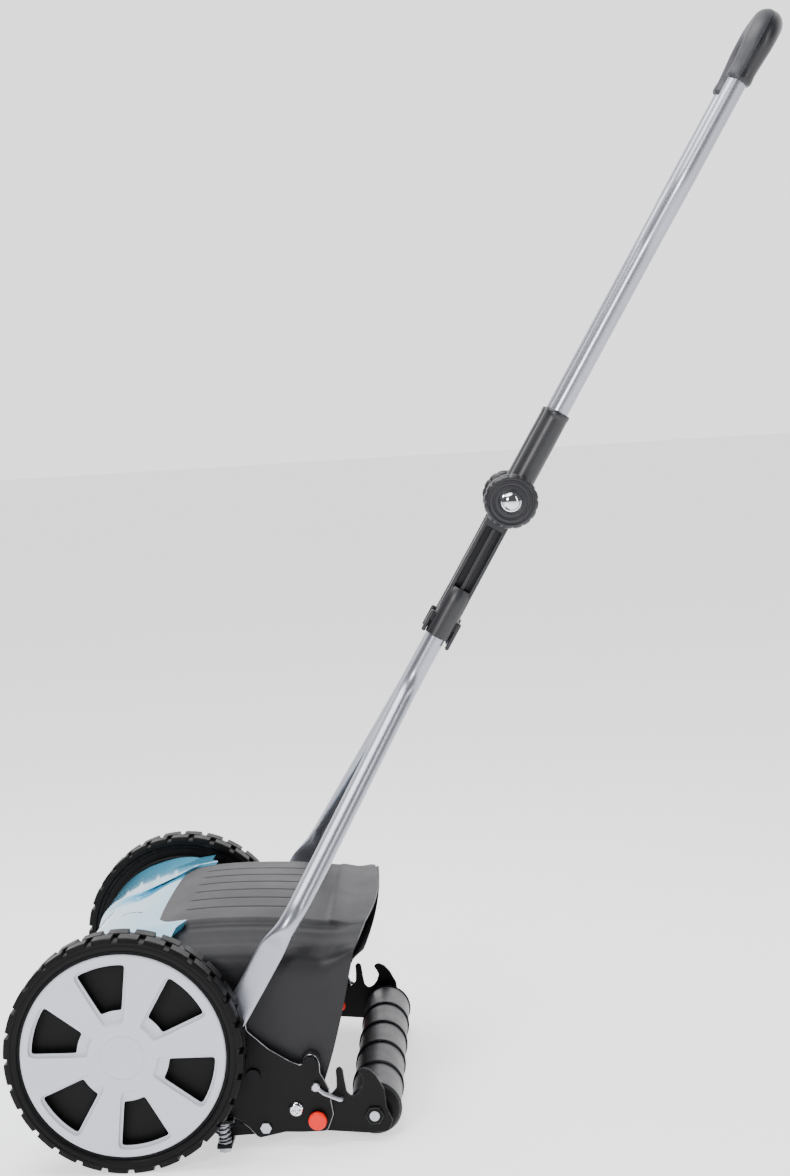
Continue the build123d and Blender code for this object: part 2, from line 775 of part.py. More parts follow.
with BuildPart() as lower_sleeve:
    with BuildSketch(along(lap_in_x)):
        Circle(lap_r)
        with Locations((-channel_len / 2, 0)):
            Rectangle(channel_len, channel_w)
    extrude(amount=lap_x - lap_in_x)
    with BuildSketch(along(lap_x)):
        with Locations((-channel_len / 2 - 8, 5.4), (-channel_len / 2 - 8, -5.4)):
            SlotOverall(channel_len - 40, 7.6)
    extrude(amount=-(lap_x - lap_in_x - 4), mode=Mode.SUBTRACT)
    with BuildSketch(Plane(origin=on_handle(lower_in_x, -channel_len - socket_len), z_dir=handle_dir)):
        Circle(socket_r)
    extrude(amount=socket_len + 6)
    with BuildSketch(along(lower_in_x - 5)):
        with Locations((-channel_len - socket_len + 4, socket_r + 2.6),
                       (-channel_len - socket_len + 4, -socket_r - 2.6)):
            SlotOverall(30, 4.5)
        with Locations((-channel_len - socket_len + 15, 0)):
            Rectangle(5, 2 * socket_r + 6)
    extrude(amount=10)
    with BuildSketch(Plane(origin=on_handle(lower_in_x, -channel_len - socket_len), z_dir=handle_dir)):
        Circle(tube_r + seat_gap)
    extrude(amount=socket_depth, mode=Mode.SUBTRACT)
    with BuildSketch(along(lap_in_x)):
        Circle(bolt_r + run_gap)
    extrude(amount=lap_x - lap_in_x, mode=Mode.SUBTRACT)
finish_pair(lower_sleeve, "lower_sleeve")

with BuildPart() as upper_sleeve:
    with BuildSketch(along(lap_x + side_gap)):
        Circle(lap_r)
    extrude(amount=lap_out_x - lap_x - side_gap)
    with BuildSketch(Plane(origin=on_handle(upper_x, 8), z_dir=handle_dir)):
        Circle(socket_r)
    extrude(amount=upper_sleeve_len - 8)
    with BuildSketch(Plane(origin=on_handle(upper_x, upper_tube_foot), z_dir=handle_dir)):
        Circle(tube_r + seat_gap)
    extrude(amount=upper_sleeve_len, mode=Mode.SUBTRACT)
    with BuildSketch(along(lap_x)):
        Circle(bolt_r + run_gap)
    extrude(amount=lap_out_x, mode=Mode.SUBTRACT)
finish_pair(upper_sleeve, "upper_sleeve")

with BuildPart() as upper_tube:
    with BuildLine() as upper_path:
        FilletPolyline(on_handle(upper_x, upper_tube_foot), on_handle(upper_x, flare_from),
                       on_handle(grip_x, flare_to), on_handle(grip_x, grip_foot + grip_seat), radius=160)
    with BuildSketch(Plane(origin=upper_path.line @ 0, z_dir=upper_path.line % 0)):
        Circle(tube_r)
        Circle(tube_r - tube_wall, mode=Mode.SUBTRACT)
    sweep()
finish_pair(upper_tube, "upper_tube")

grip_top = handle_reach - grip_r
grip_plane = Plane(origin=fold_point, x_dir=(1, 0, 0), z_dir=(0, -handle_dir.Z, handle_dir.Y))
with BuildPart() as grip_loop:
    with BuildLine() as grip_path:
        FilletPolyline(on_handle(grip_x, grip_foot), on_handle(grip_x, grip_top),
                       on_handle(-grip_x, grip_top), on_handle(-grip_x, grip_foot), radius=grip_corner_r)
    with BuildSketch(Plane(origin=grip_path.line @ 0, z_dir=grip_path.line % 0)):
        Circle(grip_r)
        Circle(tube_r + seat_gap, mode=Mode.SUBTRACT)
    sweep()

with BuildPart() as grip_front:
    add(grip_loop.part)
    split(bisect_by=grip_plane, keep=Keep.TOP)
finish(grip_front, "grip_front")

with BuildPart() as grip_rear:
    add(grip_loop.part)
    split(bisect_by=grip_plane, keep=Keep.BOTTOM)
finish(grip_rear, "grip_rear")

with BuildPart() as fold_knob:
    with BuildSketch(along(lap_out_x + side_gap)):
        Circle(knob_r)
        with PolarLocations(knob_r + 1.6, knob_lobes):
            Circle(2.6, mode=Mode.SUBTRACT)
        Circle(bolt_r, mode=Mode.SUBTRACT)
    extrude(amount=knob_t)
    with BuildSketch(along(lap_out_x + side_gap + knob_t)):
        Circle(knob_r - 4)
        Circle(knob_r - 6.5, mode=Mode.SUBTRACT)
        Circle(knob_r - 10)
        Circle(knob_r - 12.5, mode=Mode.SUBTRACT)
    extrude(amount=-1.2, mode=Mode.SUBTRACT)
finish_pair(fold_knob, "fold_knob")

with BuildPart() as fold_bolt:
    with BuildSketch(along(lap_in_x - 7)):
        Circle(bolt_r)
    extrude(amount=lap_out_x + side_gap + knob_t - lap_in_x + 7)
    with BuildSketch(along(lap_out_x + side_gap + knob_t)):
        Circle(11)
    extrude(amount=5)
    dome = fold_bolt.faces().sort_by(Axis.X)[-1].edges()
    fillet(dome, radius=4.5)
finish_pair(fold_bolt, "fold_bolt")

with BuildPart() as fold_nut:
    with BuildSketch(along(lap_in_x - 6)):
        RegularPolygon(9, 6)
        Circle(bolt_r + run_gap, mode=Mode.SUBTRACT)
    extrude(amount=6)
finish_both(fold_nut, "fold_nuts")
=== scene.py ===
"""Reel mower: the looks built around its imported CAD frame, in metres."""

import logging
import math
from dataclasses import dataclass, field
from enum import Enum
from typing import Callable, Iterable, Sequence

import bmesh
import bpy
import numpy as np
from mathutils import Matrix, Vector

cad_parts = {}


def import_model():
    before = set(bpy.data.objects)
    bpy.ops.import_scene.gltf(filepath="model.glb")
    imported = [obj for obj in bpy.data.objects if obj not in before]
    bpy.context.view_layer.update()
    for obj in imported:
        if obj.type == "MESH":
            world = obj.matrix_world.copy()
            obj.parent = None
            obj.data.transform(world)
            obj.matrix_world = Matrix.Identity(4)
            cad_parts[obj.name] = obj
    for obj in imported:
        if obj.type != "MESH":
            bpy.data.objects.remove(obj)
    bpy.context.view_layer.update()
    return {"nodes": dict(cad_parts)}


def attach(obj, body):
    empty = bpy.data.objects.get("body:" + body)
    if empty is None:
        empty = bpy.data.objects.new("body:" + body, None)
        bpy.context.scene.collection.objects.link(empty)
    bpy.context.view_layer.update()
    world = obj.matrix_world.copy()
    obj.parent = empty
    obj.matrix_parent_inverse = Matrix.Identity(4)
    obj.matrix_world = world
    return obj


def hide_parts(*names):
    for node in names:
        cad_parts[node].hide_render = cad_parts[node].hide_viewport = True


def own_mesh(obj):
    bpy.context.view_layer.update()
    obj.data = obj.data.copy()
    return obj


LOG = logging.getLogger("reel_mower")
Array = np.ndarray
MM = 0.001
SIDES = (("left", False), ("right", True))


# ---------------------------------------------------------------- colour and nodes
def linear(code: str) -> tuple[float, float, float, float]:
    """Turn an sRGB hex colour to linear light.

    Args:
        code: colour as "#rrggbb".

    Returns:
        Linear red, green, blue and an alpha of one. Below 0.04045 a value is divided by 12.92,
        and above it is ((v + 0.055) / 1.055) to the power 2.4.
    """
    values = [int(code[i:i + 2], 16) / 255 for i in (1, 3, 5)]
    red, green, blue = (v / 12.92 if v <= 0.04045 else ((v + 0.055) / 1.055) ** 2.4 for v in values)
    return red, green, blue, 1.0


def add_node(tree: bpy.types.NodeTree, kind: str, settings: dict | None = None,
             inputs: dict | None = None) -> bpy.types.Node:
    """Add a node, set its own settings, and fill or link its inputs.

    Args:
        tree: node tree that gets the node.
        kind: Blender's type name of the node.
        settings: attributes of the node.
        inputs: input name or number to a value, or to the output socket that feeds it.

    Returns:
        The new node.
    """
    made = tree.nodes.new(kind)
    for key, value in (settings or {}).items():
        setattr(made, key, value)
    for key, value in (inputs or {}).items():
        if isinstance(value, bpy.types.NodeSocket):
            tree.links.new(value, made.inputs[key])
        else:
            made.inputs[key].default_value = value
    return made


class Texture(Enum):
    """How a surface was made, which decides its fine pattern."""

    MOULDED = "spark-eroded mould grain"
    GLOSS = "polished mould with a faint orange peel"
    POWDER = "powder coat"
    FLAKE = "metallic paint with fine flakes"
    GROUND = "grinding lines across the length"
    PLATED = "cloudy zinc plating"
    RUBBER = "dull rubber with dry dust"
    FLOOR = "paper backdrop"


@dataclass(frozen=True)
class Finish:
    """One finish: what the material is and what its making leaves for the eye."""

    name: str
    slot: str
    texture: Texture
    base: str
    shade: str
    roughness: float
    spread: float = 0.08
    metallic: float = 0.0
    grain_mm: float = 1.0
    relief_mm: float = 0.03
    cloud_mm: float = 60.0
    coat: float = 0.0
    coat_roughness: float = 0.1
    specular: float = 0.5
    glow: float = 0.0
    # colour of a painted highlight along the edges, or empty for none
    edge: str = ""
    edge_mm: float = 0.5

    def material(self) -> bpy.types.Material:
        """Build the finish as a node material, or return the one already built.

        Returns:
            The material, with colour clouds, a roughness that varies, and a relief from its texture.
        """
        if self.name in bpy.data.materials:
            return bpy.data.materials[self.name]
        made = bpy.data.materials.new(self.name)
        made.use_nodes = True
        tree = made.node_tree
        shader = tree.nodes["Principled BSDF"]
        place = add_node(tree, "ShaderNodeTexCoord").outputs["Object"]
        broad = 1 / (self.cloud_mm * MM)
        cloud = add_node(tree, "ShaderNodeTexNoise", None,
                         {"Vector": place, "Scale": broad, "Detail": 5.0, "Roughness": 0.6})
        relief = self.pattern(tree, place)
        blend = add_node(tree, "ShaderNodeMath", {"operation": "MULTIPLY_ADD"},
                         {0: cloud.outputs["Fac"], 1: 0.7, 2: 0.0})
        tree.links.new(add_node(tree, "ShaderNodeMath", {"operation": "MULTIPLY"},
                                {0: relief, 1: 0.3}).outputs[0], blend.inputs[2])
        colour = add_node(tree, "ShaderNodeMix", {"data_type": "RGBA"},
                          {0: blend.outputs[0], 6: linear(self.base), 7: linear(self.shade)}).outputs[2]
        metal: bpy.types.NodeSocket | float = self.metallic
        # painted highlight: the edges turn to a light metal colour
        if self.edge:
            edge_highlight = self.painted_edge_highlight(tree, cloud.outputs["Fac"])
            colour = add_node(tree, "ShaderNodeMix", {"data_type": "RGBA"},
                              {0: edge_highlight, 6: colour, 7: linear(self.edge)}).outputs[2]
            metal = add_node(tree, "ShaderNodeMapRange", None,
                             {"Value": edge_highlight, "To Min": self.metallic, "To Max": 1.0}).outputs[0]
        tree.links.new(colour, shader.inputs["Base Color"])
        if isinstance(metal, float):
            shader.inputs["Metallic"].default_value = metal
        else:
            tree.links.new(metal, shader.inputs["Metallic"])
        rough = add_node(tree, "ShaderNodeMapRange", None,
                         {"Value": blend.outputs[0], "From Min": 0.2, "From Max": 0.8,
                          "To Min": max(0.02, self.roughness - self.spread),
                          "To Max": min(1.0, self.roughness + self.spread)})
        tree.links.new(rough.outputs[0], shader.inputs["Roughness"])
        bump = add_node(tree, "ShaderNodeBump", None,
                        {"Height": relief, "Distance": self.relief_mm * MM, "Strength": 1.0})
        if self.edge_mm:
            soft = add_node(tree, "ShaderNodeBevel", {"samples": 4}, {"Radius": self.edge_mm * MM})
            tree.links.new(soft.outputs[0], bump.inputs["Normal"])
        tree.links.new(bump.outputs[0], shader.inputs["Normal"])
        shader.inputs["Specular IOR Level"].default_value = self.specular
        shader.inputs["Emission Color"].default_value = linear(self.base)
        shader.inputs["Emission Strength"].default_value = self.glow
        shader.inputs["Coat Weight"].default_value = self.coat
        shader.inputs["Coat Roughness"].default_value = self.coat_roughness
        return made

    def pattern(self, tree: bpy.types.NodeTree, place: bpy.types.NodeSocket) -> bpy.types.NodeSocket:
        """Add the fine pattern of the finish's texture.

        Args:
            tree: the material's node tree.
            place: object coordinates.

        Returns:
            A value from 0 to 1: the relief's height.
        """
        fine = 1 / (self.grain_mm * MM)
        if self.texture is Texture.GROUND:
            # grinding leaves lines across the length, so the noise is drawn out along Y and Z
            drawn = add_node(tree, "ShaderNodeMapping", None, {"Vector": place, "Scale": (1.0, 0.04, 0.04)})
            return add_node(tree, "ShaderNodeTexNoise", None,
                            {"Vector": drawn.outputs[0], "Scale": fine, "Detail": 3.0}).outputs["Fac"]
        if self.texture is Texture.FLAKE:
            cells = add_node(tree, "ShaderNodeTexVoronoi", None, {"Vector": place, "Scale": fine})
            return add_node(tree, "ShaderNodeSeparateColor", None, {0: cells.outputs["Color"]}).outputs[0]
        if self.texture in (Texture.MOULDED, Texture.POWDER):
            cells = add_node(tree, "ShaderNodeTexVoronoi", {"feature": "SMOOTH_F1"},
                             {"Vector": place, "Scale": fine, "Smoothness": 1.0})
            return cells.outputs["Distance"]
        detail = {Texture.GLOSS: 1.0, Texture.PLATED: 4.0, Texture.RUBBER: 8.0,
                  Texture.FLOOR: 2.0}[self.texture]
        return add_node(tree, "ShaderNodeTexNoise", None,
                        {"Vector": place, "Scale": fine, "Detail": detail}).outputs["Fac"]

    def painted_edge_highlight(self, tree: bpy.types.NodeTree, cloud: bpy.types.NodeSocket) -> bpy.types.NodeSocket:
        """Find the edges that get the painted highlight: where the normal of a rounded copy turns away from
        the face's own.

        Args:
            tree: the material's node tree.
            cloud: noise that breaks the painted highlight up.

        Returns:
            A mask from 0 on the faces to 1 on the edges with the painted highlight.
        """
        rounded = add_node(tree, "ShaderNodeBevel", {"samples": 4}, {"Radius": self.edge_mm * MM})
        true = add_node(tree, "ShaderNodeNewGeometry").outputs["Normal"]
        dot = add_node(tree, "ShaderNodeVectorMath", {"operation": "DOT_PRODUCT"},
                       {0: rounded.outputs[0], 1: true}).outputs["Value"]
        turned = add_node(tree, "ShaderNodeMapRange", None,
                          {"Value": dot, "From Min": 0.98, "From Max": 0.8}).outputs[0]
        broken = add_node(tree, "ShaderNodeMapRange", None,
                          {"Value": cloud, "From Min": 0.35, "From Max": 0.6, "To Min": 0.3}).outputs[0]
        return add_node(tree, "ShaderNodeMath", {"operation": "MULTIPLY"}, {0: turned, 1: broken}).outputs[0]


# ABS wheel cover in cool light grey: satin, with a faint moulded grain that only softens the highlight
GREY_ABS = Finish("moulded_grey_abs", "cap_grey", Texture.MOULDED, "#c9ccd5", "#bfc2cb", 0.42,
                  grain_mm=0.9, relief_mm=0.006, edge_mm=0.0)
# natural rubber and carbon black: deep, dull, with dry dust held in the grain
TYRE_RUBBER = Finish("moulded_black_rubber", "tyre", Texture.RUBBER, "#040405", "#0a0a0b", 0.44, 0.12,
                     grain_mm=2.2, relief_mm=0.1, cloud_mm=18, edge_mm=0.0, specular=0.14)
# glass-filled polypropylene, black: soft sheen, fine grain
BLACK_PP = Finish("moulded_black_polypropylene", "black_plastic", Texture.MOULDED, "#040405", "#0a0a0b", 0.5,
                  grain_mm=1.2, relief_mm=0.03, specular=0.16)
# acetal gears in milky white, polished by running
ACETAL = Finish("moulded_natural_acetal", "gear_plastic", Texture.GLOSS, "#dcd9cf", "#cfcabc", 0.3,
                grain_mm=3.0, relief_mm=0.01)
# gloss ABS in light blue: mirror-like reflections of the room over a clean colour
BLUE_ABS = Finish("polished_blue_abs", "blue_plastic", Texture.GLOSS, "#5fb6d8", "#58afd2", 0.14, 0.04,
                  grain_mm=14, relief_mm=0.02, cloud_mm=90, coat=0.8, coat_roughness=0.06, edge_mm=0.0)
# textured ABS of the rear cover: charcoal, with a leather-fine grain that is drawn twice as coarse to show
CHARCOAL_ABS = Finish("grained_charcoal_abs", "charcoal_plastic", Texture.MOULDED, "#1d1d20", "#18181b", 0.46,
                      grain_mm=1.1, relief_mm=0.05, edge_mm=0.0, specular=0.3)
# the same plastic on the tube sleeves and knobs, a little smoother and darker from handling
SLEEVE_ABS = Finish("moulded_charcoal_sleeve", "charcoal_plastic", Texture.MOULDED, "#212125", "#1b1b1f",
                    0.38, grain_mm=0.9, relief_mm=0.03, edge_mm=0.3)
# elastomer of the grip's front half: dull, slightly lighter, dry to the touch
GRIP_SOFT = Finish("moulded_grip_elastomer", "charcoal_plastic", Texture.MOULDED, "#2f2f35", "#28282e", 0.5,
                   grain_mm=1.3, relief_mm=0.06, edge_mm=0.0)
# harder rear half of the grip, darker
GRIP_HARD = Finish("moulded_grip_core", "charcoal_plastic", Texture.MOULDED, "#1c1c21", "#17171b", 0.36,
                   grain_mm=1.0, relief_mm=0.03, edge_mm=0.0)
# roller tubes of polypropylene, scuffed dull by rolling
ROLLER_PP = Finish("scuffed_roller_polypropylene", "roller_plastic", Texture.MOULDED, "#242428", "#1c1c20",
                   0.42, 0.12, grain_mm=1.4, relief_mm=0.04, cloud_mm=24, edge_mm=0.0)
# gloss orange polypropylene of the push buttons
ORANGE_PP = Finish("gloss_orange_polypropylene", "orange_plastic", Texture.GLOSS, "#f51a02", "#e61501", 0.3,
                   grain_mm=6, relief_mm=0.01, specular=0.3, edge_mm=0.0)
# silver powder coat with aluminium flakes on steel tube: long soft highlights, a fine glitter
SILVER_COAT = Finish("silver_flake_coat", "silver_tube", Texture.FLAKE, "#a7a9b3", "#989aa5", 0.3, 0.05,
                     metallic=0.85, grain_mm=0.8, relief_mm=0.003, coat=0.25, coat_roughness=0.16,
                     edge_mm=0.0)
# black powder coat on stamped steel, with a painted highlight: its edges turn to a light metal colour
BLACK_COAT = Finish("black_powder_coat", "black_steel", Texture.POWDER, "#030303", "#070707", 0.42, 0.08,
                    grain_mm=1.0, relief_mm=0.05, specular=0.16, edge="#8d8f94", edge_mm=0.5)
# light steel colour on the plates' bevelled rims: a painted highlight along their edges
PAINTED_EDGE_HIGHLIGHT = Finish("steel_edge_painted_highlight", "black_steel", Texture.GROUND, "#b4b6ba", "#8a8c91", 0.35, 0.1,
                  metallic=1.0, grain_mm=1.0, relief_mm=0.02, edge_mm=0.0)
# hardened blade steel with grinding lines
BLADE_STEEL = Finish("ground_blade_steel", "blade_steel", Texture.GROUND, "#b9bbc0", "#93959b", 0.32, 0.1,
                     metallic=1.0, grain_mm=0.8, relief_mm=0.03, edge_mm=0.3)
# spring wire, drawn and oiled
SPRING_WIRE = Finish("drawn_spring_wire", "blade_steel", Texture.PLATED, "#a9abb0", "#77797f", 0.3, 0.1,
                     metallic=1.0, grain_mm=2.0, relief_mm=0.01, edge_mm=0.0)
# bright zinc plating: cloudy, slightly blue
ZINC = Finish("bright_zinc_plating", "zinc_steel", Texture.PLATED, "#c4c7cd", "#9fa2aa", 0.34, 0.1,
              metallic=1.0, grain_mm=3.0, relief_mm=0.01, edge_mm=0.3)
# blackened screws, oiled
BLACK_ZINC = Finish("black_oxide_screw", "zinc_steel", Texture.PLATED, "#09090a", "#141416", 0.35, 0.1,
                    metallic=0.8, grain_mm=2.0, relief_mm=0.01, edge_mm=0.3)
# chrome over polished steel
CHROME = Finish("polished_chrome", "chrome", Texture.GLOSS, "#dfe1e6", "#d4d6dc", 0.08, 0.03,
                metallic=1.0, grain_mm=8.0, relief_mm=0.004, edge_mm=0.0)
# matt paper sweep under the object
PAPER = Finish("matt_paper_floor", "", Texture.FLOOR, "#f4f4f5", "#f1f1f2", 0.85, 0.05,
               grain_mm=3.0, relief_mm=0.02, cloud_mm=900, edge_mm=0.0, specular=0.1, glow=1.15)

NODE_FINISH = {
    "wheel_rim": BLACK_PP, "gear_housing": BLACK_PP, "ring_gear": ACETAL, "pinions": ACETAL,
    "reel_bearings": ACETAL, "stub_axles": ZINC, "axle_clips": ZINC, "reel_shaft": ZINC,
    "reel_spiders": BLACK_COAT, "reel_blades": BLADE_STEEL, "drive_pawls": BLADE_STEEL,
    "knife_carrier": BLACK_COAT, "bed_knife": BLADE_STEEL, "adjuster_screw": ZINC,
    "knife_pivot_bolts": ZINC, "tie_screws": BLACK_ZINC, "front_tie_bar": BLACK_COAT,
    "rear_tie_bar": BLACK_COAT, "cover_screws": BLACK_ZINC, "handle_bolts": BLACK_ZINC,
    "roller_axle": ZINC, "roller_nuts": BLACK_COAT, "fold_nuts": ZINC,
}


# ---------------------------------------------------------------- surfaces
def smoothstep(value: Array) -> Array:
    """Rise from 0 to 1 with flat ends: three times the square less twice the cube."""
    clipped = np.clip(value, 0.0, 1.0)
    return clipped * clipped * (3 - 2 * clipped)


def curve_through(knots: Sequence[tuple[float, float]], at: Array) -> Array:
    """Read a smooth curve through knots.

    Args:
        knots: pairs of place and value, in rising order of place.
        at: places to read.

    Returns:
        Values between the knots: a cubic Hermite curve with slopes from the neighbours' differences.
    """
    place, value = np.array(knots, float).T
    slope = np.gradient(value, place)
    span = np.clip(np.searchsorted(place, at, side="right") - 1, 0, len(place) - 2)
    width = place[span + 1] - place[span]
    t = np.clip((at - place[span]) / width, 0.0, 1.0)
    return ((2 * t ** 3 - 3 * t ** 2 + 1) * value[span] + (t ** 3 - 2 * t ** 2 + t) * width * slope[span]
            + (3 * t ** 2 - 2 * t ** 3) * value[span + 1] + (t ** 3 - t ** 2) * width * slope[span + 1])


def rounded(corners: Sequence[Sequence[float]], radius: float, closed: bool = False, steps: int = 6) -> Array:
    """Run straight lines between corners and round each corner with an arc.

    Args:
        corners: points, in two or three dimensions.
        radius: radius of each arc, made smaller where a run is too short for it.
        closed: whether the last corner joins the first.
        steps: number of pieces in an arc.

    Returns:
        Points along the line. On an arc a point is centre - n * R * cos(a) + d * R * sin(a), with d the run's
        direction, n the way it turns and a from 0 to the turn.
    """
    points = np.array(corners, float)
    count = len(points)
    line: list[Array] = [] if closed else [points[:1]]
    for i in range(0 if closed else 1, count if closed else count - 1):
        before, corner, after = points[i - 1], points[i], points[(i + 1) % count]
        run_in, run_out = np.linalg.norm(corner - before), np.linalg.norm(after - corner)
        into, out = (corner - before) / run_in, (after - corner) / run_out
        turn = math.acos(float(np.clip(into @ out, -1, 1)))
        if turn < 0.01:
            line.append(corner[None])
            continue
        reach = min(radius * math.tan(turn / 2), 0.45 * run_in, 0.45 * run_out)
        bend_r = reach / math.tan(turn / 2)
        way = (out - (out @ into) * into) / math.sin(turn)
        start = corner - into * reach
        angle = np.linspace(0, turn, steps + 1)[:, None]
        line.append(start + way * bend_r * (1 - np.cos(angle)) + into * bend_r * np.sin(angle))
    if not closed:
        line.append(points[-1:])
    return np.concatenate(line)


def lathe(profile: Array, centre: tuple[float, float], angles: Array,
          shape: Callable[[Array, Array], Array] | None = None) -> Array:
    """Turn a profile about a line along X.

    Args:
        profile: rows of (x, r).
        centre: (y, z) of the line.
        angles: angles round the line, from +Y towards +Z.
        shape: changes radii (row index grid, angle grid) by an amount that is added.

    Returns:
        Grid of points (x, y + r cos a, z + r sin a).
    """
    rows, turn = np.meshgrid(np.arange(len(profile)), angles, indexing="ij")
    radius = profile[:, 1][rows]
    if shape:
        radius = radius + shape(rows, turn)
    return np.stack([profile[:, 0][rows], centre[0] + radius * np.cos(turn),
                     centre[1] + radius * np.sin(turn)], -1)


def full_turn(count: int) -> Array:
    """Angles of a whole turn, without the repeated last one."""
    return np.arange(count) * 2 * math.pi / count


def carry(path: Array, outlines: Array, across: Sequence[float]) -> Array:
    """Carry an outline along a path.

    Args:
        path: points of the path.
        outlines: one outline (m, 2), or one for each path point (n, m, 2).
        across: reference direction; the outline's first axis is this, squared up to the path.

    Returns:
        Grid of points: path + first axis * u + (tangent x first axis) * v.
    """
    tangent = np.gradient(path, axis=0)
    tangent /= np.linalg.norm(tangent, axis=1, keepdims=True)
    first = np.array(across, float) - (tangent @ np.array(across, float))[:, None] * tangent
    first /= np.linalg.norm(first, axis=1, keepdims=True)
    second = np.cross(tangent, first)
    shapes = np.broadcast_to(outlines, (len(path), *np.shape(outlines)[-2:]))
    return path[:, None] + shapes[..., :1] * first[:, None] + shapes[..., 1:] * second[:, None]


def oval(half_u: float | Array, half_v: float | Array, squareness: float | Array = 2.0,
         count: int = 40) -> Array:
    """Outline of a superellipse: |u/a|^n + |v/b|^n = 1, with n the squareness.

    Args:
        half_u: half width along the first axis, one value or one for each section.
        half_v: half width along the second axis.
        squareness: 2 is an ellipse, and more squares it off.
        count: number of points.

    Returns:
        Outline or outlines of (u, v).
    """
    turn = full_turn(count)
    a, b, n = (np.atleast_1d(np.asarray(v, float))[:, None] for v in (half_u, half_v, squareness))
    a, b, n = np.broadcast_arrays(a, b, n)
    cosine, sine = np.cos(turn)[None], np.sin(turn)[None]
    u = a * np.sign(cosine) * np.abs(cosine) ** (2 / n)
    v = b * np.sign(sine) * np.abs(sine) ** (2 / n)
    shapes = np.stack([u, v], -1)
    return shapes[0] if len(shapes) == 1 else shapes


@dataclass
class Skin:
    """Points and faces of one piece, gathered from its surfaces."""

    points: list[Array] = field(default_factory=list)
    faces: list[list[int]] = field(default_factory=list)
    marks: list[int] = field(default_factory=list)
    count: int = 0

    def surface(self, grid: Array, close_rows: bool = False, close_columns: bool = True,
                caps: bool = False, marks: Sequence[int] = ()) -> None:
        """Add a grid of points as quads.

        Args:
            grid: points (rows, columns, 3), in millimetres.
            close_rows: whether the last row joins the first.
            close_columns: whether the last column joins the first.
            caps: whether the first and the last row are filled.
            marks: numbers of the rows of faces that take the second finish.
        """
        rows, columns = grid.shape[:2]
        index = np.arange(rows * columns).reshape(rows, columns) + self.count
        high = np.roll(index, -1, 0) if close_rows else index[1:]
        low = index if close_rows else index[:-1]
        if close_columns:
            quads = np.stack([low, np.roll(low, -1, 1), np.roll(high, -1, 1), high], -1)
        else:
            quads = np.stack([low[:, :-1], low[:, 1:], high[:, 1:], high[:, :-1]], -1)
        self.points.append(grid.reshape(-1, 3))
        self.count += rows * columns
        marked = np.isin(np.arange(quads.shape[0]), marks)
        self.marks += np.repeat(marked, quads.shape[1]).astype(int).tolist()
        self.faces += quads.reshape(-1, 4).tolist()
        if caps:
            self.faces += [index[0, ::-1].tolist(), index[-1].tolist()]
            self.marks += [0, 0]

    def plate(self, outline: Array, x_low: float, x_high: float, bevel: float) -> None:
        """Add a flat plate that stands across X, with its rims broken by a small bevel.

        Args:
            outline: points (y, z) round the plate.
            x_low: its lower face.
            x_high: its upper face.
            bevel: width of the broken rims, which take the second finish.
        """
        step = np.roll(outline, -1, 0) - np.roll(outline, 1, 0)
        area = np.sum(outline[:, 0] * np.roll(outline[:, 1], -1) - np.roll(outline[:, 0], -1) * outline[:, 1])
        outward = np.stack([step[:, 1], -step[:, 0]], -1) * np.sign(area)
        outward /= np.maximum(np.linalg.norm(outward, axis=1, keepdims=True), 1e-9)
        inner = outline - outward * bevel
        rows = ((x_low, inner), (x_low + bevel, outline), (x_high - bevel, outline), (x_high, inner))
        grid = np.stack([np.column_stack([np.full(len(edge), x), edge]) for x, edge in rows])
        self.surface(grid, caps=True, marks=(0, 2))

    def build(self, name: str, finishes: Sequence[Finish], body: str, replaced: Sequence[str] = (),
              mirrored: bool = False, sharp: float = 35.0) -> bpy.types.Object:
        """Turn the gathered surfaces into a piece that rides on its body.

        Args:
            name: name of the piece.
            finishes: the main finish, and the second one if faces are marked for it.
            body: CAD body that the piece moves with.
            replaced: CAD nodes that it stands for.
            mirrored: whether the piece is the right-hand twin.
            sharp: angle in degrees past which an edge stays sharp.

        Returns:
            The piece, with its doubles merged and its faces turned outward.
        """
        points = np.concatenate(self.points) * MM
        if mirrored:
            points = points * (-1, 1, 1)
        mesh = bpy.data.meshes.new(name)
        mesh.from_pydata(points.tolist(), [], self.faces)
        mesh.polygons.foreach_set("material_index", self.marks)
        shell = bmesh.new()
        shell.from_mesh(mesh)
        bmesh.ops.remove_doubles(shell, verts=shell.verts, dist=1e-6)
        bmesh.ops.recalc_face_normals(shell, faces=shell.faces)
        shell.to_mesh(mesh)
        shell.free()
        mesh.shade_smooth()
        mesh.set_sharp_from_angle(angle=math.radians(sharp))
        piece = bpy.data.objects.new(name, mesh)
        bpy.context.scene.collection.objects.link(piece)
        for finish in finishes:
            mesh.materials.append(finish.material())
        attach(piece, body)
        if replaced:
            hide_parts(*replaced)
        LOG.info("%s: %d faces on %s", name, len(mesh.polygons), body)
        return piece

    def pair(self, name: str, finishes: Sequence[Finish], body: str, replaced: str = "",
             sharp: float = 35.0) -> None:
        """Turn the gathered surfaces into a left-hand piece and its right-hand twin.

        Args:
            name: name of both pieces, before their side.
            finishes: the main finish, and the second one if faces are marked for it.
            body: CAD body that each piece moves with, with {} in place of the side.
            replaced: CAD node that each stands for, before its side, or nothing.
            sharp: angle in degrees past which an edge stays sharp.
        """
        for side, mirrored in SIDES:
            nodes = [f"{replaced}_{side}"] if replaced else []
            self.build(f"{name}_{side}", finishes, body.format(side), nodes, mirrored, sharp)


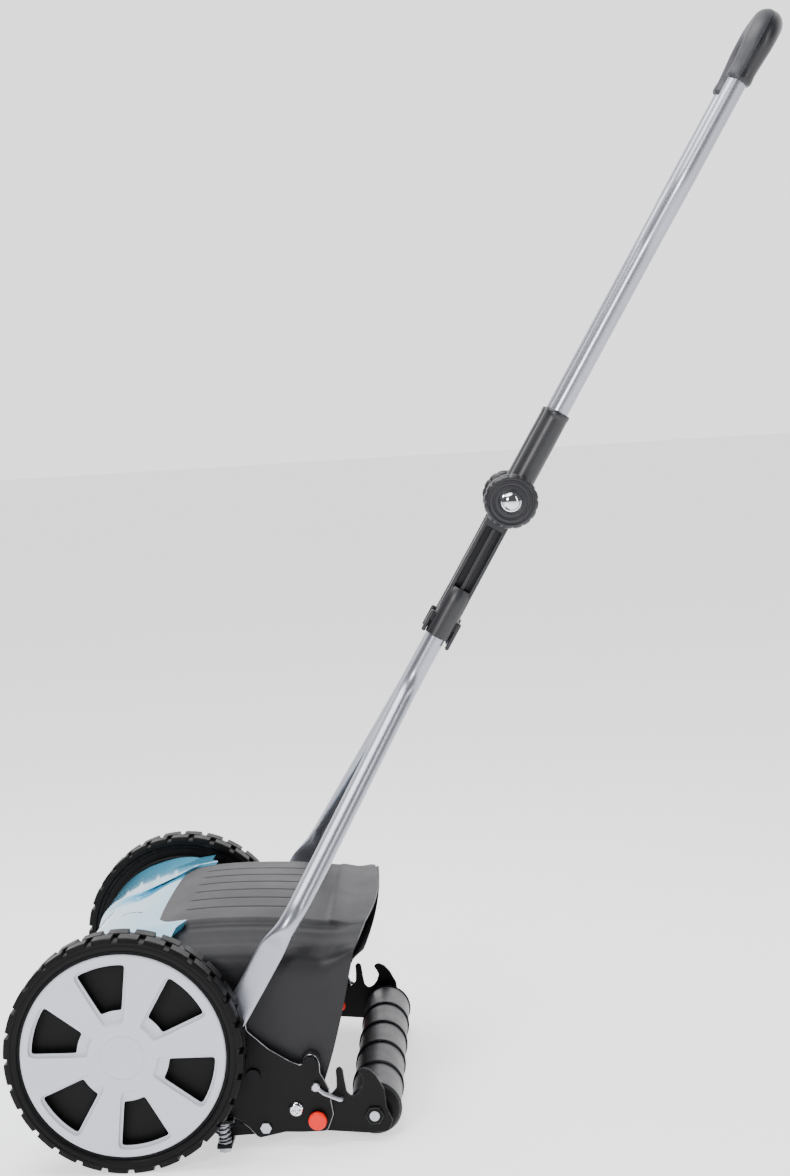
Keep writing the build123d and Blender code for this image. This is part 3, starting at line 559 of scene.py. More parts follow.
# ---------------------------------------------------------------- wheels
@dataclass
class Wheel:
    """A road wheel: lugged tyre, spoked cap and the housing dish behind it."""

    radius: float = 118.0
    axle_z: float = 118.0
    inner_x: float = 215.5
    outer_x: float = 257.5
    tread_width: float = 40.5
    lugs: int = 28
    lug_gap: float = 5.6
    lug_depth: float = 3.6
    bead_r: float = 104.0
    cap_r: float = 101.3
    field_r: float = 97.0
    disc_r: float = 24.0
    windows: int = 6
    first_window: float = 40.7
    opening: tuple[float, float, float, float] = (45.6, 90.4, 13.2, 15.6)
    recess: tuple[float, float, float, float] = (33.5, 93.4, 17.0, 17.6)
    drop: float = 4.4
    wall: float = 3.6
    crown: float = 1.1
    flank: float = 0.35

    @property
    def centre(self) -> tuple[float, float]:
        """Axle's place as (y, z)."""
        return 0.0, self.axle_z

    def tread(self, turn: Array, row: int) -> Array:
        """Height of the tread from 0 in a gap to 1 on a lug, rising over the flank's few tenths of a degree.

        Args:
            turn: angles round the tyre.
            row: 0 for the inner row of lugs and 1 for the outer, which is half a pitch on.

        Returns:
            Heights.
        """
        pitch = 2 * math.pi / self.lugs
        gap = self.lug_gap / self.radius
        shift = -math.pi / 2 + pitch / 2 * (1 + row)
        away = np.abs((turn - shift + pitch / 2) % pitch - pitch / 2)
        return np.clip((away - gap / 2) / math.radians(self.flank), 0.0, 1.0)

    def tyre(self) -> None:
        """Build the tyre: a closed cross-section turned about the axle, lifted where the lugs are."""
        base = self.radius - self.lug_depth
        x_in, x_out = self.inner_x, self.inner_x + self.tread_width
        middle = (x_in + x_out) / 2
        full = self.lug_depth
        # each row: x, radius, lift of the inner row of lugs, lift of the outer row
        section = np.array([
            (x_in + 3, self.bead_r, 0, 0), (x_in + 1.6, self.bead_r + 0.6, 0, 0),
            (x_in + 1.6, base - 6.5, 0, 0), (x_in + 0.4, base - 5.4, 0, 0), (x_in, base - 3.0, 0, 0),
            (x_in + 0.1, base - 1.2, 0.6, 0), (x_in + 0.9, base - 0.4, full - 0.4, 0),
            (x_in + 2.2, base, full, 0), (middle - 1.8, base, full, 0), (middle - 1.0, base, full - 0.6, 0),
            (middle - 0.7, base - 0.4, 0, 0), (middle + 0.7, base - 0.4, 0, 0),
            (middle + 1.0, base, 0, full - 0.6), (middle + 1.8, base, 0, full),
            (x_out - 2.2, base, 0, full), (x_out - 0.9, base - 0.4, 0, full - 0.4),
            (x_out - 0.1, base - 1.2, 0, 0.6), (x_out, base - 2.4, 0, 0), (x_out - 0.3, base - 3.2, 0, 0),
            (x_out - 1.0, base - 3.7, 0, 0), (x_out - 0.8, base - 5.0, 0, 0),
            (x_out - 1.1, base - 8.0, 0, 0), (x_out - 1.8, base - 9.2, 0, 0),
            (x_out - 3.5, self.bead_r, 0, 0)])
        pitch = math.degrees(2 * math.pi / self.lugs)
        gap = math.degrees(self.lug_gap / self.radius) / 2
        # columns stand at both ends of every flank of both rows, and once between
        marks = [0, gap, gap + self.flank, pitch / 4, pitch / 2 - gap - self.flank, pitch / 2 - gap,
                 pitch / 2, pitch / 2 + gap, pitch / 2 + gap + self.flank, pitch * 3 / 4,
                 pitch - gap - self.flank, pitch - gap]
        start = -90 + pitch / 2
        angles = np.radians(start + np.add.outer(np.arange(self.lugs) * pitch, np.array(marks)).ravel())

        def lift(rows: Array, turn: Array) -> Array:
            """Lift of the lugs, which is each row's own lift times its height."""
            return section[:, 2][rows] * self.tread(turn, 0) + section[:, 3][rows] * self.tread(turn, 1)

        skin = Skin()
        skin.surface(lathe(section[:, :2], self.centre, angles, lift), close_rows=True)
        # short ribs that stiffen the inner wall
        for turn in full_turn(24):
            rib = np.array([(x_in + 0.2, base - 12), (x_in + 0.2, base - 7.4), (x_in + 2.4, base - 7.0),
                            (x_in + 2.4, base - 12.4)])
            skin.surface(lathe(rib, self.centre, turn + np.radians([-0.5, 0.5])).transpose(1, 0, 2),
                         caps=True)
        skin.pair("lugged_tyre", [TYRE_RUBBER], "wheel_{}", "tyre", 28)

    def loop(self, inner_r: float, outer_r: float, inner_half: float, outer_half: float,
             passes: int) -> Array:
        """Outline round one window as (radius, angle) turned to (y, z), in the window's own direction.

        Args:
            inner_r: radius of its inner end.
            outer_r: radius of its outer end.
            inner_half: half angle at the inner end, in degrees.
            outer_half: half angle at the outer end, in degrees.
            passes: rounds of averaging each point with its neighbours, which round the corners.

        Returns:
            60 points: 16 on the outer arc, 16 on one side, 12 on the inner end, 16 on the other side.
        """
        def arc(radius: float, half: float, count: int) -> Array:
            """Points from -half to half, at a radius; the last one is left to the side that follows."""
            turn = np.radians(np.linspace(-half, half, count + 1)[:-1])
            return radius * np.stack([np.cos(turn), np.sin(turn)], -1)

        out, back = arc(outer_r, outer_half, 16), arc(inner_r, -inner_half, 12)
        share = np.linspace(0, 1, 17)[:-1, None]
        inward = out[0] * (1, -1) + (back[0] - out[0] * (1, -1)) * share
        outward = back[0] * (1, -1) + (out[0] - back[0] * (1, -1)) * share
        points = np.concatenate([out, inward, back, outward])
        for _ in range(passes):
            points = 0.5 * points + 0.25 * (np.roll(points, 1, 0) + np.roll(points, -1, 0))
        return points

    def cap(self) -> None:
        """Build the cap: each sixth is a grid from its border to the window's recess and opening.

        The face is crowned: it falls by the crown times the square of r over the cap's radius.
        """
        half = 180 / self.windows
        border = self.loop(self.disc_r, self.field_r, half, half, 0)
        recess = self.loop(*self.recess, 3)
        opening = self.loop(*self.opening, 1)
        rows: list[tuple[Array, float]] = [(border, 0.0), (0.5 * border + 0.5 * recess, 0.0),
                                           (1.03 * recess - 0.03 * opening, 0.0)]
        # the recess sinks fast at its border, then runs level to the opening
        for part, share in ((1.0, 0.0), (0.95, 0.1), (0.88, 0.4), (0.8, 0.75), (0.7, 0.95), (0.35, 1.0),
                            (0.0, 1.03)):
            rows.append((part * recess + (1 - part) * opening, -self.drop * share))
        rows += [(opening, -self.drop - 1.4), (0.6 * opening + 0.4 * recess, -self.drop - 1.6),
                 (recess, -self.wall - 0.8), (0.5 * border + 0.5 * recess, -self.wall), (border, -self.wall)]
        flat = np.stack([row for row, _ in rows])
        levels = np.array([level for _, level in rows])[:, None]
        face_x = self.outer_x - 0.6
        skin = Skin()
        for k in range(self.windows):
            turn = math.radians(self.first_window + 2 * half * k)
            y = flat[..., 0] * math.cos(turn) - flat[..., 1] * math.sin(turn)
            z = flat[..., 0] * math.sin(turn) + flat[..., 1] * math.cos(turn)
            crown = -self.crown * (np.hypot(y, z) / self.cap_r) ** 2
            skin.surface(np.stack([face_x + levels + crown, y, z + self.axle_z], -1))
        rim_turn = np.radians(self.first_window - half + np.arange(16 * self.windows) * 2 * half / 16)
        disc_turn = np.radians(self.first_window - half + np.arange(12 * self.windows) * 2 * half / 12)

        def crowned(profile: Sequence[tuple[float, float]]) -> Array:
            """Profile of (level, r) placed on the crown."""
            level, r = np.array(profile).T
            return np.stack([face_x + level - self.crown * (r / self.cap_r) ** 2, r], -1)

        rim = [(0, self.field_r), (0, 98.6), (-0.3, 99.8), (-1.0, 100.8), (-2.2, self.cap_r),
               (-4.2, self.cap_r), (-4.6, 100.4), (-self.wall, self.field_r)]
        skin.surface(lathe(crowned(rim), self.centre, rim_turn))
        disc = [(0, self.disc_r), (0, 22.6), (-0.35, 22.1), (-0.5, 21.5), (-0.35, 20.9), (0.2, 20.4),
                (0.45, 18), (0.6, 9), (0.6, 0)]
        skin.surface(lathe(crowned(disc), self.centre, disc_turn))
        skin.surface(lathe(crowned([(-self.wall, self.disc_r), (-self.wall, 10), (-self.wall, 0)]),
                           self.centre, disc_turn))
        skin.pair("spoked_cap", [GREY_ABS], "wheel_{}", "hub_cap", 40)

    def housing(self) -> None:
        """Build the dish that covers the gears, with a raised lip round its rim."""
        x = 208.0
        profile = np.array([(x, 20), (x, 60), (x + 0.6, 88), (x - 0.8, 93.5), (x - 0.8, 96), (x, 97),
                            (x + 4, 97.2), (x + 5, 96.4), (x + 5, 94), (x + 3, 92.5), (x + 2.4, 88),
                            (x + 2, 20)])
        skin = Skin()
        skin.surface(lathe(profile, self.centre, full_turn(96)), close_rows=True)
        post = np.array([(200.2, 8.3), (200.2, 20), (210.0, 20), (210.0, 8.3)])
        skin.surface(lathe(post, self.centre, full_turn(40)), close_rows=True)
        skin.pair("gear_dish", [BLACK_PP], "frame", "gear_housing", 40)

    def make(self) -> None:
        """Build both wheels."""
        for build in (self.tyre, self.cap, self.housing):
            build()


# ---------------------------------------------------------------- body
@dataclass
class Covers:
    """The blue bonnet in front and the charcoal cover behind."""

    axle_z: float = 118.0
    half_width: float = 203.0
    bonnet_r: float = 90.0
    bonnet_from: float = 69.0
    bonnet_to: float = 205.0
    bonnet_wall: float = 2.6
    cheek_rise: float = 4.5
    cover_half: float = 190.6
    cover_wall: float = 2.4
    top_line: tuple[tuple[float, float], ...] = (
        (18, 216.5), (40, 220.8), (70, 223.0), (100, 223.0), (130, 221.8), (160, 219.4), (185, 216.4),
        (200, 214.0), (212, 211.0), (224, 209.4), (236, 210.0), (248, 212.0))
    cheek_foot: tuple[tuple[float, float], ...] = (
        (18, 206), (45, 184), (70, 152), (100, 118), (122, 96), (150, 72), (170, 60), (188, 56), (250, 56))
    grooves: int = 6
    groove_pitch: float = 36.0
    groove_depth: float = 1.3

    def bonnet(self) -> None:
        """Build the bonnet: radius over (angle, x), raised at both ends behind an S-shaped step.

        The columns bunch along the step, so that its edge runs clean: each is a share of the way from the
        middle to the step, across the step, or from the step to the end. The raised ends reach back over the
        cover's shoulders at the height h over the axle, which is r = h / sin a.
        """
        run = np.linspace(0, 1, 121)[:, None]
        at = self.bonnet_from + run * (self.bonnet_to - self.bonnet_from)
        step_at = curve_through([(60, 132), (72, 132), (79, 127), (86, 100), (93, 74), (100, 55), (108, 46),
                                 (120, 54), (135, 80), (150, 108), (180, 140), (210, 150)],
                                at.ravel())[:, None]
        to_step, over = np.linspace(0, 1, 36)[:-1], np.linspace(0, 1, 9)[:-1]
        to_end = np.concatenate([np.linspace(0, 0.9, 22)[:-1], np.linspace(0.9, 1, 6)])
        wide = np.concatenate([(step_at - 3) * to_step, step_at - 3 + 6 * over,
                               step_at + 3 + (self.half_width - step_at - 3) * to_end], axis=1)
        raised = np.concatenate([0 * to_step, smoothstep(over), 1 + 0 * to_end])[None]
        # the raised ends reach 7 degrees further back than the middle, and 3.5 at the outer sides
        start = self.bonnet_from - raised * (7.0 - 3.5 * smoothstep((wide[:1] - 134) / 26))
        degrees = start + run * (self.bonnet_to - start)
        turn = np.radians(degrees)
        # the middle climbs towards the cover, the ends stand proud, and the outer edge is turned in
        rise = 8.5 * smoothstep((108 - degrees) / 36)
        cheek = self.cheek_rise * smoothstep((202 - degrees) / 60)
        edge = 2.0 * smoothstep((wide - self.half_width + 4) / 4)
        radius = self.bonnet_r + rise * (1 - 0.45 * raised) + raised * cheek - edge
        # height of the reaching ends over the axle, falling a little outwards; their rear rim is thicker
        shoulder = 96.8 + 0.24 * (90 - degrees) - 0.08 * (wide - 140).clip(min=0) - edge
        radius = np.maximum(radius, raised * shoulder / np.sin(turn) * (degrees < 90))
        wall = self.bonnet_wall + 8 * raised * smoothstep((start + 3 - degrees) / 3)
        wide = np.concatenate([-wide[:, :0:-1], wide], axis=1)
        radius = np.concatenate([radius[:, :0:-1], radius], axis=1)
        turn = np.concatenate([turn[:, :0:-1], turn], axis=1)
        wall = np.concatenate([wall[:, :0:-1], wall], axis=1)
        skin = Skin()
        layers = [np.stack([wide, r * np.cos(turn), self.axle_z + r * np.sin(turn)], -1)
                  for r in (radius, radius - wall)]
        self.shell(skin, *layers)
        skin.build("gloss_bonnet", [BLUE_ABS], "frame", ["front_bonnet"], sharp=50)

    @staticmethod
    def shell(skin: Skin, outer: Array, inner: Array) -> None:
        """Add a wall between two grids of one size, closed round its border.

        Args:
            skin: skin that gets the wall.
            outer: outer grid.
            inner: inner grid.
        """
        skin.surface(outer, close_columns=False)
        skin.surface(inner, close_columns=False)
        for cut in ((slice(None), 0), (slice(None), -1), (0, slice(None)), (-1, slice(None))):
            skin.surface(np.stack([outer[cut], inner[cut]]), close_columns=False)

    def across(self) -> tuple[Array, Array, Array]:
        """Cross-section of the cover from its middle to the foot of one cheek.

        Returns:
            Half widths, drops below the top line, and shares of the way down the cheek.
        """
        flat = np.linspace(0, 128, 65)
        knots = np.array([(131.5, 3.1), (133.5, 4.2), (135.0, 7.0), (137.0, 8.6), (141, 9.4), (148, 9.8),
                          (153, 10.4), (156, 11.6), (160, 13.4), (166, 15.2), (172, 17.0), (176, 18.6),
                          (178.5, 20.6), (181, 23.4), (184, 26.2), (187, 30.2), (189, 35.0), (190, 41.0),
                          (190.6, 48.0)])
        share = np.linspace(0, 1, 16)[1:]
        half = np.concatenate([flat, knots[:, 0], np.full(15, self.cover_half)])
        drop = np.concatenate([2.9 * (flat / 128) ** 2, knots[:, 1], np.full(15, 48.0)])
        return half, drop, np.concatenate([np.zeros(len(flat) + len(knots)), share])

    def cover(self) -> None:
        """Build the cover: top line by Y, dropped across X, with cheeks down to their foot line."""
        half, drop, share = self.across()
        x = np.concatenate([-half[:0:-1], half])
        drop = np.concatenate([drop[:0:-1], drop])
        share = np.concatenate([share[:0:-1], share])
        wide = np.abs(x)
        # the front edge bows back a little, and steps back beside the bonnet's reaching ends
        front = 20 + 3 * (np.clip(wide, 0, 130) / 130) ** 3 + 13 * smoothstep((wide - 133) / 5)
        rear = 245 - 17 * (wide / self.cover_half) ** 2
        rear = np.where(share > 0, curve_through([(0, 228), (0.28, 217), (0.65, 202), (1, 188)], share), rear)
        run = np.linspace(0, 1, 121)[:, None]
        y = front + run * (rear - front)
        top = curve_through(self.top_line, y.ravel()).reshape(y.shape)
        foot = curve_through(self.cheek_foot, y.ravel()).reshape(y.shape)
        # side ridges fade out towards the rear lip, where the cover flares flat
        lip = smoothstep((y - 190) / 40)
        z = top - drop * (1 - 0.9 * lip) - 9 * lip * smoothstep((wide - 120) / 75)
        z = z + share * (np.minimum(foot, z - 1) - z)
        inset = 3.5 * share * smoothstep((y - 105) / 40)
        x_all = np.sign(x) * (wide - inset)
        centres = (np.arange(self.grooves) - (self.grooves - 1) / 2) * self.groove_pitch
        dip = np.exp(-(np.subtract.outer(x, centres) / 1.15) ** 2).max(axis=1)
        ends = smoothstep((y - 46) / 5) * smoothstep((176 + 0.06 * wide - y) / 5)
        panel = 1.4 * smoothstep((y - 196) / 6) * smoothstep((136 - wide) / 4)
        z = z - self.groove_depth * dip * ends + panel * (1 - smoothstep((y - 205) / 18))
        outer = np.stack([x_all, y, z], -1)
        along, around = np.gradient(outer, axis=0), np.gradient(outer, axis=1)
        normal = np.cross(around, along)
        normal /= np.maximum(np.linalg.norm(normal, axis=-1, keepdims=True), 1e-9)
        normal *= np.sign(normal[60, len(x) // 2, 2])
        skin = Skin()
        self.shell(skin, outer, outer - normal * self.cover_wall)
        self.skirt(skin)
        skin.build("ribbed_rear_cover", [CHARCOAL_ABS], "frame", ["rear_cover"], sharp=50)

    def skirt(self, skin: Skin) -> None:
        """Add the rear wall under the lip: one line in Y and Z carried across X."""
        line = rounded([(238, 195), (227, 186), (221, 174), (211.5, 151), (204.5, 132), (196, 92),
                        (188, 58)], 14)
        x = np.linspace(-self.cover_half + 2.2, self.cover_half - 2.2, 61)
        x_grid, y_grid = np.meshgrid(x, line[:, 0])
        z_grid = np.broadcast_to(line[:, 1][:, None], x_grid.shape)
        bow = 6.0 * (1 - (x_grid / self.cover_half) ** 2) * smoothstep((y_grid - 200) / 40)
        outer = np.stack([x_grid, y_grid + bow, z_grid], -1)
        self.shell(skin, outer, outer - np.array([0, self.cover_wall, 0.4]))

    def lugs(self) -> None:
        """Build the moulded screw bosses at the cheeks' feet."""
        skin = Skin()
        profile = np.array([(187.0, 0), (187.0, 9.4), (193.2, 8.6), (195.0, 7.6), (195.6, 6.0), (195.6, 0)])
        skin.surface(lathe(profile, (178.0, 86.0), full_turn(40)))
        skin.pair("cover_boss", [CHARCOAL_ABS], "frame")

    def make(self) -> None:
        """Build the covers."""
        self.bonnet()
        self.cover()
        self.lugs()


@dataclass
class Chassis:
    """Side plates, roller arms, links, buttons, screws and springs."""

    plate_in: float = 196.0
    plate_out: float = 200.0
    drum_r: float = 89.6
    axle_z: float = 118.0
    pivot: tuple[float, float] = (161.0, 38.5)
    button: tuple[float, float] = (182.0, 27.0)
    roller: tuple[float, float] = (239.0, 27.0)

    def plates(self) -> None:
        """Build the side plates: a stamped outline whose bevelled rim carries a painted highlight."""
        front = np.radians(np.linspace(48, 231, 60))
        drum = np.stack([self.drum_r * np.cos(front), self.axle_z + self.drum_r * np.sin(front)], -1)
        rear = rounded([(0, 44), (58, 32), (78, 31), (101, 31), (112.5, 21), (121.5, 10), (148.5, 15),
                        (166, 14), (191, 14), (198, 31), (195, 56), (191, 66), (187, 74), (187, 84),
                        (184.5, 91), (178, 94.5), (171.5, 91), (169.5, 82), (157, 88), (137, 101),
                        (116, 121), (115.5, 138), (110, 146), (94, 150), (75, 172)], 6, steps=5)
        outline = np.concatenate([drum, rear[1:-1]])
        skin = Skin()
        skin.plate(outline, self.plate_in, self.plate_out, 0.5)
        tab = np.array([(80.0, 31.0), (97.5, 31.0), (97.5, 34.0), (80.0, 34.0)])
        skin.plate(tab, self.plate_out - 0.5, 214.3, 0.4)
        # the second finish paints a highlight on the bevelled rims
        skin.pair("stamped_plate", [BLACK_COAT, PAINTED_EDGE_HIGHLIGHT], "frame", "side_plate", 30)

    def arms(self) -> None:
        """Build the roller arms with their open hooks."""
        edge = [(150, 24), (181, 14), (236, 8), (252, 9.5), (257, 20), (251.5, 34), (250, 52), (243, 66),
                (237, 73), (230, 76.5), (223.6, 73.5), (227.4, 68.5), (229.6, 63), (227, 55), (222, 49.5),
                (216.5, 47), (212.2, 52), (210.8, 62), (209.5, 75), (206, 78.4), (202.3, 75), (202.6, 66),
                (202, 56), (196, 50), (172, 53), (154, 51), (147, 40)]
        outline = rounded(edge, 4.0, closed=True, steps=5)
        skin = Skin()
        skin.plate(outline, 192.4, 195.6, 0.5)
        skin.pair("hook_arm", [BLACK_COAT, BLACK_COAT], "bracket", "roller_arm", 30)

    def links(self) -> None:
        """Build the bent steel rods of the height setting, both in one piece."""
        skin = Skin()
        for sign in (1, -1):
            path = rounded([(200.4, 182, 61), (204.2, 182, 61), (204.2, 190, 54), (203.6, 207, 46),
                            (196.2, 207, 46)], 3.2, steps=6) * (sign, 1, 1)
            skin.surface(carry(path, oval(2.1, 2.1, count=20), (0, 0.5, 0.86)), caps=True)
            head = np.array([(200.4, 0), (200.4, 4.4), (205.8, 4.4), (206.8, 3.4), (206.8, 0)]) * (sign, 1)
            skin.surface(lathe(head, (182, 61), full_turn(24)))
        skin.build("bent_links", [ZINC], "bracket", ["height_links"])

    def screws(self) -> None:
        """Build the pivot screws: pan heads with a cross recess sunk by both crossing bars."""
        skin = Skin()
        for sign in (1, -1):
            ring = np.array([(204.0, 0), (204.0, 1), (204.0, 2), (204.0, 3), (204.0, 4), (203.8, 5.2),
                             (203.2, 6.4), (202.2, 7.2), (201, 7.5), (200.05, 7.5), (200.05, 4), (187.4, 4),
                             (187.4, 0)])
            grid = lathe(ring, self.pivot, full_turn(96))
            y, z = grid[..., 1] - self.pivot[0], grid[..., 2] - self.pivot[1]
            slot = np.maximum(smoothstep((1.1 - np.abs(y)) / 0.5), smoothstep((1.1 - np.abs(z)) / 0.5))
            sunk = 1.7 * slot * smoothstep((4.4 - np.hypot(y, z)) / 0.9) * (grid[..., 0] > 203)
            grid[..., 0] = (grid[..., 0] - sunk) * sign
            skin.surface(grid)
            nut = np.array([(187.4, 0), (187.4, 7.2), (188.0, 7.5), (191.4, 7.5), (192.1, 7.2), (192.1, 0)])
            nut = nut * (sign, 1)
            skin.surface(lathe(nut, self.pivot, full_turn(6)))
        skin.build("cross_head_screws", [CHROME], "frame", ["bracket_screws"], sharp=30)

    def buttons(self) -> None:
        """Build the push buttons: a stem and a cap with a soft rim and a slightly hollow face."""
        profile = np.array([(190.0, 0), (190.0, 4.6), (190.6, 5.2), (191.6, 5.2), (191.6, 6.0),
                            (204.0, 6.0), (204.0, 9.0), (204.4, 9.25), (207.0, 9.25), (208.2, 8.8),
                            (208.9, 7.9), (209.0, 6.6), (208.7, 5.0), (208.5, 2.5), (208.4, 0)])
        skin = Skin()
        skin.surface(lathe(profile, self.button, full_turn(48)))
        skin.pair("push_button", [ORANGE_PP], "button_{}", "height_button")

    def springs(self) -> None:
        """Build the adjusting springs: wire carried along a helix with flat end turns, both in one piece."""
        low, high, turns, wire, coil_r = 10.6, 29.9, 6.5, 1.1, 5.7
        share = np.linspace(0, 1, 220)
        # the end turns lie flat, and the height rises smoothly between them
        rise = low + (high - low) * smoothstep(0.5 + (share - 0.5) * 1.12)
        skin = Skin()
        for sign in (1, -1):
            angle = 2 * math.pi * turns * share
            path = np.stack([sign * (207.3 + coil_r * np.cos(angle)), 88 + coil_r * np.sin(angle), rise], -1)
            skin.surface(carry(path, oval(wire, wire, count=10), (0, 0, 1)), caps=True)
        spring = skin.build("coil_springs", [SPRING_WIRE], "knife", ["adjuster_springs"])
        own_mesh(spring)

    def roller_parts(self) -> None:
        """Build the roller: five shells with rounded rims, and a core whose ends are domed."""
        r, half, gap, count = 27.0, 184.0, 3.0, 5
        length = (2 * (half - 8) - (count - 1) * gap) / count
        shells = Skin()
        for i in range(count):
            x = -half + 8 + i * (length + gap)
            end = np.radians(np.linspace(0, 90, 6))
            rim = np.stack([x + 1.4 * (1 - np.sin(end)), r - 1.4 * (1 - np.cos(end))], -1)[::-1]
            other = np.stack([2 * x + length - rim[:, 0], rim[:, 1]], -1)[::-1]
            profile = np.concatenate([[(x, r - 4)], rim[::-1], other[::-1], [(x + length, r - 4)]])
            shells.surface(lathe(profile, self.roller, full_turn(96)), close_rows=True)
        shells.build("roller_tubes", [ROLLER_PP], "roller", ["roller_shells"])
        dome = np.radians(np.linspace(0, 90, 9))
        end = np.stack([-half + 7 - 7 * np.sin(dome)[::-1], 18.5 + 7 * np.cos(dome)[::-1]], -1)
        body = np.concatenate([[(-half, 5.3), (-half, 9), (-half + 0.6, 10), (-half + 0.6, 13),
                                (-half, 14)], end, [(-half + 8, 25.5), (-half + 8, 23)]])
        profile = np.concatenate([body, (body * (-1, 1))[::-1]])
        core = Skin()
        core.surface(lathe(profile, self.roller, full_turn(96)), close_rows=True)
        core.build("roller_body", [BLACK_PP], "roller", ["roller_core"])

    def make(self) -> None:
        """Build the chassis pieces."""
        for build in (self.plates, self.arms, self.links, self.screws, self.buttons, self.springs,
                      self.roller_parts):
            build()


